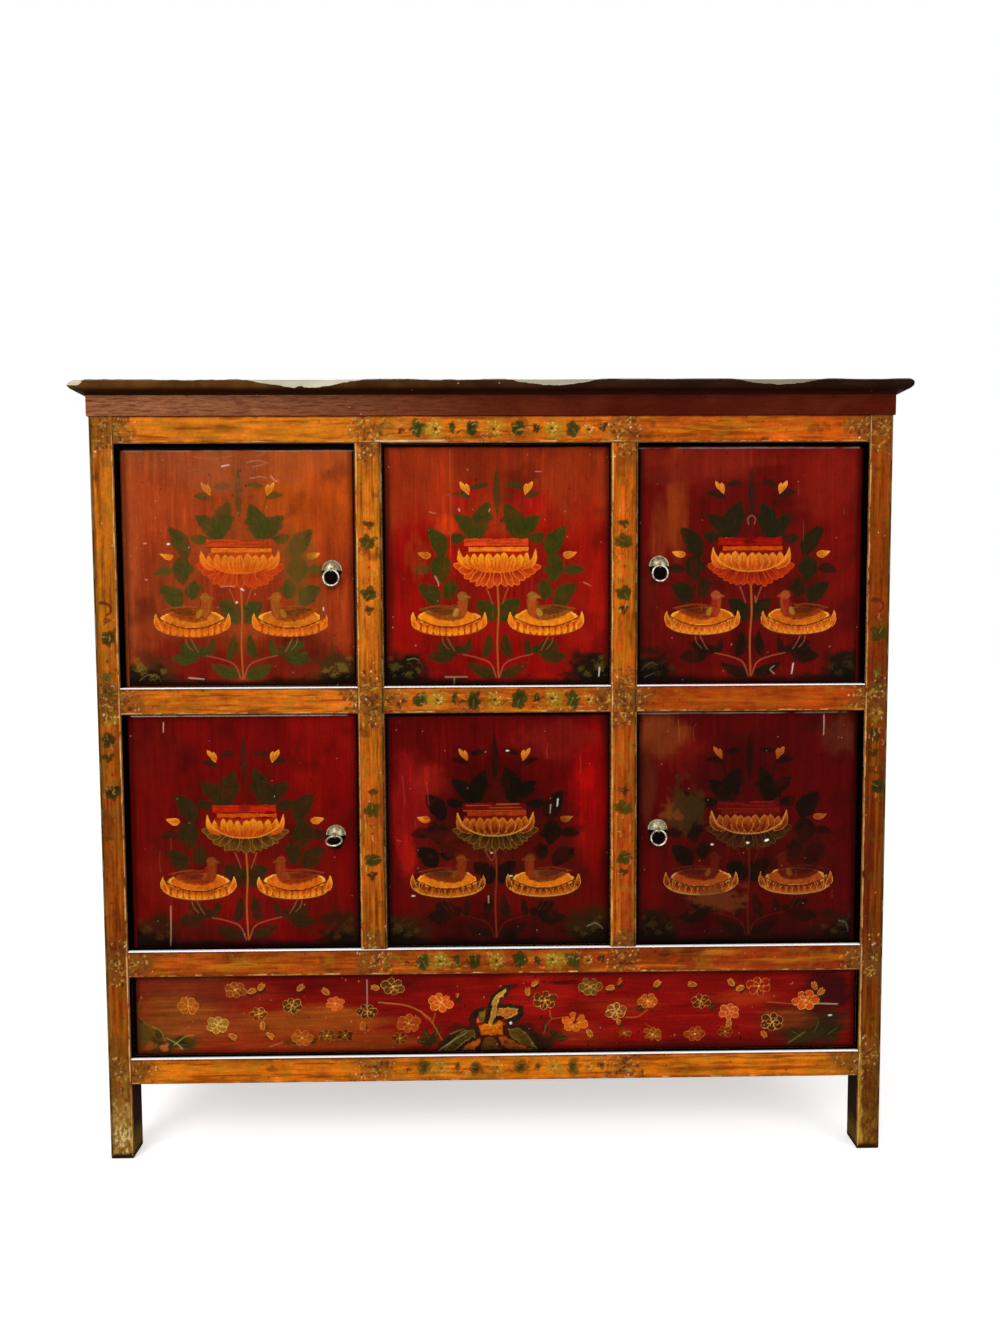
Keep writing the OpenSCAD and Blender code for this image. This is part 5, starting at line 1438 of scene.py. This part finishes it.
def top_board_skin(material):
    """The top: its moulding carried round the front and both ends as rings that shrink inwards and climb, rear plain.

    Three long hand-worn scoops lower the front arris, and the left front corner is chipped.
    """
    half_x, front, rear = CAP[1].x / MM, CAP[0].y / MM, CAP[1].y / MM
    bottom, top = CAP[0].z / MM, CAP[1].z / MM
    inset, height, back = top_profile(bottom, top)
    # the ring at inset 0, walked from the rear left corner round the front to the rear right and back
    run_x, run_y = np.linspace(-1, 1, RUN_X), np.linspace(1, -1, RUN_Y) * 0.5 + 0.5
    end = np.ones(RUN_Y - 1)
    share_x = np.concatenate([-end, run_x[:-1], end, run_x[:0:-1]])[None, :]
    share_y = np.concatenate([run_y[:-1], np.zeros(RUN_X - 1), run_y[:0:-1], np.ones(RUN_X - 1)])[None, :]
    x = share_x * (half_x - inset)
    y = front + inset + share_y * (rear - back - front - inset)
    z = height + np.zeros_like(x)
    wobble = noise(x / 60, y / 60 + z / 30, 5) + 1
    x = np.clip(x * (1 - 0.0006 * wobble), -half_x, half_x)
    y = np.where(share_y > 0.999, rear - back, np.clip(y + 0.35 * wobble * (share_y < 0.5), front, rear))
    # scoops: each depth of a slope that climbs from the nose to the flat
    cut = np.zeros_like(x)
    for middle, reach, depth in SCOOPS:
        along = np.clip(1 - ((x - middle) / reach) ** 2, 0, 1) ** 1.1
        cut = np.maximum(cut, depth * along * (1 + 0.12 * noise(x / 14, y / 40, 7)))
    # a shallow worn cut along the left part of the arris, seen as a thin pale line: partly wear, partly a painted
    # highlight
    cut = cut + 1.6 * step(-0.3, 0.5, noise(x / 12, y / 40, 9)) * step(150, -50, x)
    corner = np.hypot(x + half_x, y - front) + 4 * noise(x / 8, y / 8, 11)
    cut = np.maximum(cut, 10 * (1 - step(14, 30, corner)))
    drop = np.maximum(z - top + cut * np.clip(1 - (y - front) / 12.5, 0, 1), 0)
    n, columns = x.size, x.shape[1]
    index = np.arange(n).reshape(x.shape)
    first, last = index[0], index[-1]
    middles = [[0, (front + rear) / 2, top], [0, (front + rear) / 2, bottom]]
    points = np.vstack([np.stack([x, y, z - drop], -1).reshape(-1, 3), middles]) * MM
    lid = np.stack([last, np.roll(last, -1), np.full(columns, n)], 1)
    floor = np.stack([np.roll(first, -1), first, np.full(columns, n + 1)], 1)
    faces = [grid_faces(np.hstack([index, index[:, :1]])), np.vstack([lid, floor])]
    obj = put_mesh("moulded_top", points, faces, "cabinet", material)
    put_numbers(obj.data, "worn", np.append(np.clip(drop / 1.2, 0, 1).ravel(), [0, 0]))
    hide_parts("top_board")


def cap_material():
    """Near-black lacquer, worn to pale grey-olive wood in the scoops and along the arris, dusty on the flat."""
    material, b, p, shader = new_material("dark_top")
    low, high = CAP[0], CAP[1]
    x, y, z = b.split(p)
    rightward = b.slope(x, -0.55, 0.3)
    light, dim = b.mix(rightward, "#5c3a14", "#2a140a"), b.mix(rightward, "#42240c", "#1c0d06")
    nose_tone = b.mix(b.slope(b.grain(p, 14.0, 5.0), -0.12, 0.15), light, dim)
    # painted shade: the cove and lower nose, which face down, are darker
    lacquer = b.mix(b.slope(z, low.z + 0.003, low.z + 0.009), "#250d05", nose_tone)
    worn = b.group(
        AGED, Colour=lacquer, Position=p, Streaks=(30, 300, 500), Mottle=0.35, Specks=0.5, Crackle=0.5, Gloss=0.5
    )
    bare = b.group(WOOD, Position=p, Squeeze=(0.05, 1, 1), Pale="#d2cab4", Dark="#a09880", Dirt=0.15)
    wood = b.mix(b.slope(x, -0.22, 0.5, 0.0, 0.85), bare["Colour"], "#6c6244")
    scoop = b.slope(b.add(b.attribute("worn", "Fac"), b.times(b.grain(p, 90.0, 5.0, 0.7), 0.5)), 0.35, 0.6)
    broken = b.slope(b.add(b.grain(p, 30.0, 4.0), b.times(b.grain(p, 300.0), 0.5)), -0.18, 0.0)
    arris = b.times(b.slope(z, high.z - 0.0035, high.z - 0.0008), broken)
    inset = b.math("MINIMUM", b.minus(y, low.y), b.minus(high.x, b.size(x)))
    rubbed = b.times(b.slope(b.add(inset, b.times(b.grain(p, 24.0, 4.0), 0.02)), 0.022, 0.010), 0.6)
    thin = b.slope(b.grain(b.vector("MULTIPLY", p, (0.15, 1, 1)), 26.0, 6.0, 0.75), 0.0, 0.3, 0.0, 0.6)
    dusty = b.mix(b.times(thin, b.slope(z, high.z - 0.002, high.z - 0.0005)), worn["Colour"], "#4a3420")
    mask = b.math("MAXIMUM", scoop, b.times(arris, rubbed))
    rough = b.add(worn["Roughness"], b.times(mask, 0.25), clamp=True)
    relief = b.add(worn["Height"], bare["Height"])
    finish_material(b, shader, b.mix(mask, dusty, wood), rough, relief, 0.0004, 0.5)
    return material


top_board_skin(cap_material())


# ---- materials of the CAD nodes
def dress(nodes, material):
    """Gives CAD nodes one material."""
    for node in nodes:
        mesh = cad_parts[node].data
        mesh.materials.clear()
        mesh.materials.append(material)


def member_material(node, colour, squeeze, sill=0.0):
    """A frame member under its painted face: near-black painted shade in the reveals, brown on the legs, rubbed at the
    edges.

    A post is painted on its outer side too, and a sill of the given depth is white, a painted highlight. The eased
    arrises that face the light turn pale, partly wear and partly a painted highlight.
    """
    low, high = (tuple(corner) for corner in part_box(node))
    material, b, p, shader = new_material(node + "_paint")
    streaks = tuple(30.0 if s < 1 else 420.0 for s in squeeze)
    worn = b.group(
        AGED, Colour=colour, Position=p, Streaks=streaks, Mottle=0.5, Specks=0.3, Crackle=0.6, Gloss=0.45
    )
    bare = b.group(WOOD, Position=p, Squeeze=squeeze, Pale="#b8803c", Dark="#5c3414", Dirt=0.2)
    nx, ny, nz = b.split(b.node("NewGeometry").outputs["Normal"])
    px, py, pz = b.split(p)
    painted = worn["Colour"]
    if "post" in node:
        sideways = b.slope(b.times(nx, b.math("SIGN", px)), -0.5, -0.9)
        worn_low = b.slope(b.add(pz, b.times(b.grain(p, 45.0, 5.0, 0.7), 0.09)), 0.085, 0.03, 0.0, 0.85)
        painted = b.mix(worn_low, painted, "#6a4a20")
    else:
        sideways = b.slope(b.size(nx), 0.5, 0.9)
    hidden = b.math("MAXIMUM", sideways, b.slope(b.size(nz), 0.5, 0.9))
    # painted shade: near-black on the faces in the reveals, turning brown low down and olive-brown near the floor
    reveal = b.mix(b.slope(pz, 0.125, 0.08), "#060302", "#2a150b")
    reveal = b.mix(b.slope(b.add(pz, b.times(b.grain(p, 40.0, 4.0), 0.04)), 0.05, 0.02), reveal, "#5c4418")
    # rubbed where two faces meet, and pale on the eased arrises that face the light: partly wear, partly painted
    # highlight
    edge = b.group(RUBBED, Position=p, Low=low, High=high, Width=0.0012, Uneven=0.7)["Mask"]
    tilted = b.times(b.slope(b.size(ny), 0.95, 0.75), b.slope(b.size(ny), 0.2, 0.5))
    lit = b.slope(b.minus(b.math("MAXIMUM", nz, 0.0), nx), -0.3, 0.3, 0.25, 0.85)
    ragged = b.slope(b.add(b.grain(p, 60.0, 4.0, 0.7), b.times(b.grain(p, 500.0), 0.5)), -0.04, 0.1)
    mask = b.math("MAXIMUM", b.times(tilted, ragged, lit), b.times(edge, b.slope(ny, -0.2, -0.5)))
    surface = b.mix(mask, b.mix(hidden, painted, reveal), bare["Colour"])
    surface = b.mix(b.slope(pz, 0.012, 0.006), surface, "#2c1606")
    if sill:
        # painted highlight: white on the front part of the sill's top face, where it catches the light
        white = b.times(b.slope(nz, 0.3, 0.6), b.slope(py, FACE_Y + sill, FACE_Y + sill - 0.0015))
        surface = b.mix(white, surface, "#ffffff")
    finish_material(b, shader, surface, worn["Roughness"], worn["Height"], 0.0005, 0.6)
    return material


ACROSS, ALONG_Y, UPRIGHT = (0.06, 1, 1), (1, 0.06, 1), (1, 1, 0.06)
# Front rails with the depth in metres of the white sill on each, a painted highlight on the rail's top face.
SILL_HIGHLIGHTS = {
    "front_top_rail": 0.0, "front_lower_rail": 0.0060, "front_base_rail": 0.0048, "mid_rail_left": 0.012,
    "mid_rail_centre": 0.012, "mid_rail_right": 0.012,
}
for node, sill in SILL_HIGHLIGHTS.items():
    dress([node], member_material(node, "#a85c10", ACROSS, sill))
for node in ("mullion_left", "mullion_right", "post_front_left", "post_front_right"):
    dress([node], member_material(node, "#94541a", UPRIGHT))


def aged_material(name, colour, second, streaks, gloss=0.45, bare_low=None, pale_left=False, edge=None):
    """Plain old paint in clouds of two tones, with bare wood near the floor or pale rubbing to the left if asked.

    Edge is for a door: the ground tone of its front edge, and the height over which the head's painted shadow is black.
    Beside the posts the door is black too, painted shade in the gap.
    """
    material, b, p, shader = new_material(name)
    x, y, z = b.split(p)
    surface = b.mix(b.slope(b.grain(p, 7.0, 5.0, 0.65, 0.6), -0.12, 0.16), colour, second)
    if pale_left:
        patchy = b.slope(b.grain(b.vector("MULTIPLY", p, (40, 200, 330)), 1.0, 6.0, 0.8), -0.22, 0.12)
        surface = b.mix(b.times(b.slope(x, 0.1, -0.5), patchy, 0.85), surface, "#9c6440")
    if bare_low:
        ragged = b.add(z, b.times(b.grain(p, 30.0, 4.0), 0.06))
        surface = b.mix(b.slope(ragged, bare_low, bare_low * 0.4), surface, "#a8946a")
    if edge:
        ground, head = edge
        surface = b.mix(b.slope(y, PANEL_Y + 0.009, PANEL_Y + 0.006), surface, ground)
        # painted shade: black in the gap beside the posts and under the head
        beside = b.slope(b.size(x), POST_IN - 0.0030, POST_IN - 0.0022)
        gap = b.math("MAXIMUM", beside, b.slope(z, head - 0.0008, head + 0.0002))
        surface = b.mix(gap, surface, "#060302")
    worn = b.group(
        AGED, Colour=surface, Position=p, Streaks=streaks, Mottle=0.45, Specks=0.45, Crackle=0.6, Gloss=gloss
    )
    finish_material(b, shader, worn["Colour"], worn["Roughness"], worn["Height"], 0.0005, 0.6)
    return material


def bare_wood(name, squeeze, pale="#9c7648", dark="#54361c"):
    material, b, p, shader = new_material(name)
    wood = b.group(WOOD, Position=p, Squeeze=squeeze, Pale=pale, Dark=dark, Dirt=0.55)
    finish_material(b, shader, wood["Colour"], wood["Roughness"], wood["Height"], 0.0006, 0.7)
    return material


def sides_of(*stems):
    """The left and right nodes of each stem."""
    return [f"{stem}_{side}" for stem in stems for side in SIDE_NAMES]


frieze_streaks, side_streaks = (28, 300, 420), (300, 28, 420)
dress(["frieze_front"], aged_material("frieze_paint", "#451005", "#541c0c", frieze_streaks, pale_left=True))
dress(sides_of("frieze"), aged_material("frieze_side_paint", "#4a1408", "#3c0f06", side_streaks))
dress(sides_of("post_rear"), aged_material("rear_post_paint", "#5c2c10", "#3c1a0a", (420, 420, 28), bare_low=0.09))
side_rails = sides_of("side_rail_top", "side_rail_mid", "side_rail_base")
dress(side_rails, aged_material("side_rail_paint", "#7c3c10", "#54260c", (420, 28, 420)))
side_panels = sides_of("side_panel_upper", "side_panel_lower")
dress(side_panels, aged_material("side_panel_paint", "#5a120a", "#3a0c08", (420, 420, 24), gloss=0.55))
for tag, ground in zip(TAGS, ("#7c3212", "#560804", "#500604", "#3a0404")):
    head = (TIERS[tag.split("_")[0]][1] - PANELS[tag]["head"][0]) * MM
    paint = aged_material(f"door_wood_{tag}", "#3a1c0e", "#6a4424", (420, 420, 28), gloss=0.3, edge=(ground, head))
    dress([f"door_{tag}"], paint)
dress(("panel_upper_centre", "panel_lower_centre", "apron_panel"), bare_wood("panel_wood", UPRIGHT))
dress([f"battens_{tag}" for tag in TAGS], bare_wood("batten_wood", ACROSS))
dress(("back_boards_upper", "back_boards_lower"), bare_wood("back_wood", UPRIGHT))
rear_rails = ("rear_rail_top", "rear_rail_mid", "rear_rail_base", "door_stops")
dress(rear_rails, bare_wood("rail_wood", ACROSS, "#8c683c", "#4a2e16"))
dress(("shelf_boards", "bottom_boards"), bare_wood("shelf_wood", ACROSS))
dress(("shelf_cleats", "bottom_cleats"), bare_wood("cleat_wood", ALONG_Y))


def brass_material(name, top_z, bottom_z, pale, dark_low):
    """A pull's metal: painted light above the first height, and by dark_low painted shade, black, below the second."""
    material, b, p, shader = new_material(name)
    lit_and_shaded = b.slope(b.split(p)[2], top_z, bottom_z, -0.25, dark_low)
    metal = b.group(TARNISH, Position=p, Metal=pale, Grease=lit_and_shaded)
    b.tree.links.new(b.times(metal["Mask"], 0.75), shader.inputs["Metallic"])
    finish_material(b, shader, metal["Colour"], metal["Roughness"], metal["Height"], 0.0005, 0.5)
    return material


for tag in TAGS:
    lo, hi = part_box("boss_" + tag)
    # painted light above each piece's first height and painted shade below its second; the boss turns black just below
    # its middle, in painted shade under the dome
    for piece, top_z, bottom_z, pale, dark_low in (
        ("boss", hi.z - 0.0125, hi.z - 0.0165, "#b4ac8c", 1.0), ("cotter", hi.z + 0.01, lo.z - 0.02, "#b0a480", 0.1),
        ("ring", hi.z + 0.03, lo.z - 0.03, "#e8e4d0", 0.0),
    ):
        dress([f"{piece}_{tag}"], brass_material(f"{piece}_metal_{tag}", top_z, bottom_z, pale, dark_low))


# ---- floor, light and camera
def pale_floor(size=9.0):
    """A pale floor that runs far off, keeps the object's shadow, and far out looks as bright as the world."""
    mesh = bpy.data.meshes.new("floor")
    corners = [(-size, -size, 0), (size, -size, 0), (size, size, 0), (-size, size, 0)]
    mesh.from_pydata(corners, [], [(0, 1, 2, 3)])
    material, b, p, shader = new_material("pale_floor", specular=0.1)
    far = b.slope(b.vector("LENGTH", p), 0.9, 3.5, 0.5, 0.58)
    glow = b.times(b.node("LightPath").outputs["Is Camera Ray"], far)
    colour = b.mix(b.slope(b.grain(p, 1.5, 4.0), -0.4, 0.4), "#fafafa", "#fdfdfd")
    b.tree.links.new(colour, shader.inputs["Base Color"])
    b.tree.links.new(glow, shader.inputs["Emission Strength"])
    shader.inputs["Emission Color"].default_value = (1, 1, 1, 1)
    shader.inputs["Roughness"].default_value = 0.9
    mesh.materials.append(material)
    put_object("floor", mesh)


def studio_world():
    """A soft grey world, white to the camera and in reflections."""
    world = bpy.data.worlds.new("studio")
    bpy.context.scene.world = world
    world.use_nodes = True
    w = Tree(world.node_tree)
    lamp = world.node_tree.nodes["Background"]
    path = w.node("LightPath").outputs
    mirrored = w.math("MAXIMUM", path["Is Glossy Ray"], path["Is Transmission Ray"])
    seen = w.math("MAXIMUM", path["Is Camera Ray"], mirrored)
    w.tree.links.new(w.add(0.56, w.times(seen, 0.44)), lamp.inputs["Strength"])
    lamp.inputs["Color"].default_value = (1, 1, 1, 1)


def area_lamp(name, at, target, size, watts):
    light = bpy.data.lights.new(name, "AREA")
    light.shape, light.size, light.energy = "DISK", size, watts
    obj = put_object(name, light)
    obj.location = at
    obj.rotation_euler = (Vector(at) - Vector(target)).to_track_quat("Z", "Y").to_euler()


pale_floor()
studio_world()
area_lamp("key", (-1.6, -3.2, 2.9), (0, 0, 0.6), 2.2, 78)
area_lamp("fill", (2.4, -2.8, 1.6), (0, 0, 0.5), 2.4, 31)

# The photograph's camera: focal length in pixels of its 1000 x 1334 frame, place in metres, and turns in radians.
PHOTO_TALL, FOCAL_PIXELS = 1334, 1002.0
EYE = (-0.0153, -1.5543, 0.7768)
PITCH, YAW, ROLL = 0.06573, 0.01643, 0.00488


def photo_camera():
    """Looks from EYE along +Y, turned right by YAW and down by PITCH, then rolled."""
    cp, sp, cy, sy, cr, sr = (f(a) for a in (PITCH, YAW, ROLL) for f in (math.cos, math.sin))
    ahead = np.array([sy * cp, cy * cp, -sp])
    up = np.array([sy * sp, cy * sp, cp])
    side = np.array([cy, -sy, 0])
    right, above = side * cr - up * sr, side * sr + up * cr
    data = bpy.data.cameras.new("photo_camera")
    data.sensor_width = 36
    data.lens = FOCAL_PIXELS / PHOTO_TALL * data.sensor_width
    data.clip_start, data.clip_end = 0.05, 60
    obj = put_object("photo_camera", data)
    obj.matrix_world = Matrix([*np.stack([right, above, -ahead, EYE], 1), (0, 0, 0, 1)])
    bpy.context.scene.camera = obj


photo_camera()
bpy.context.scene.view_settings.view_transform = "Standard"
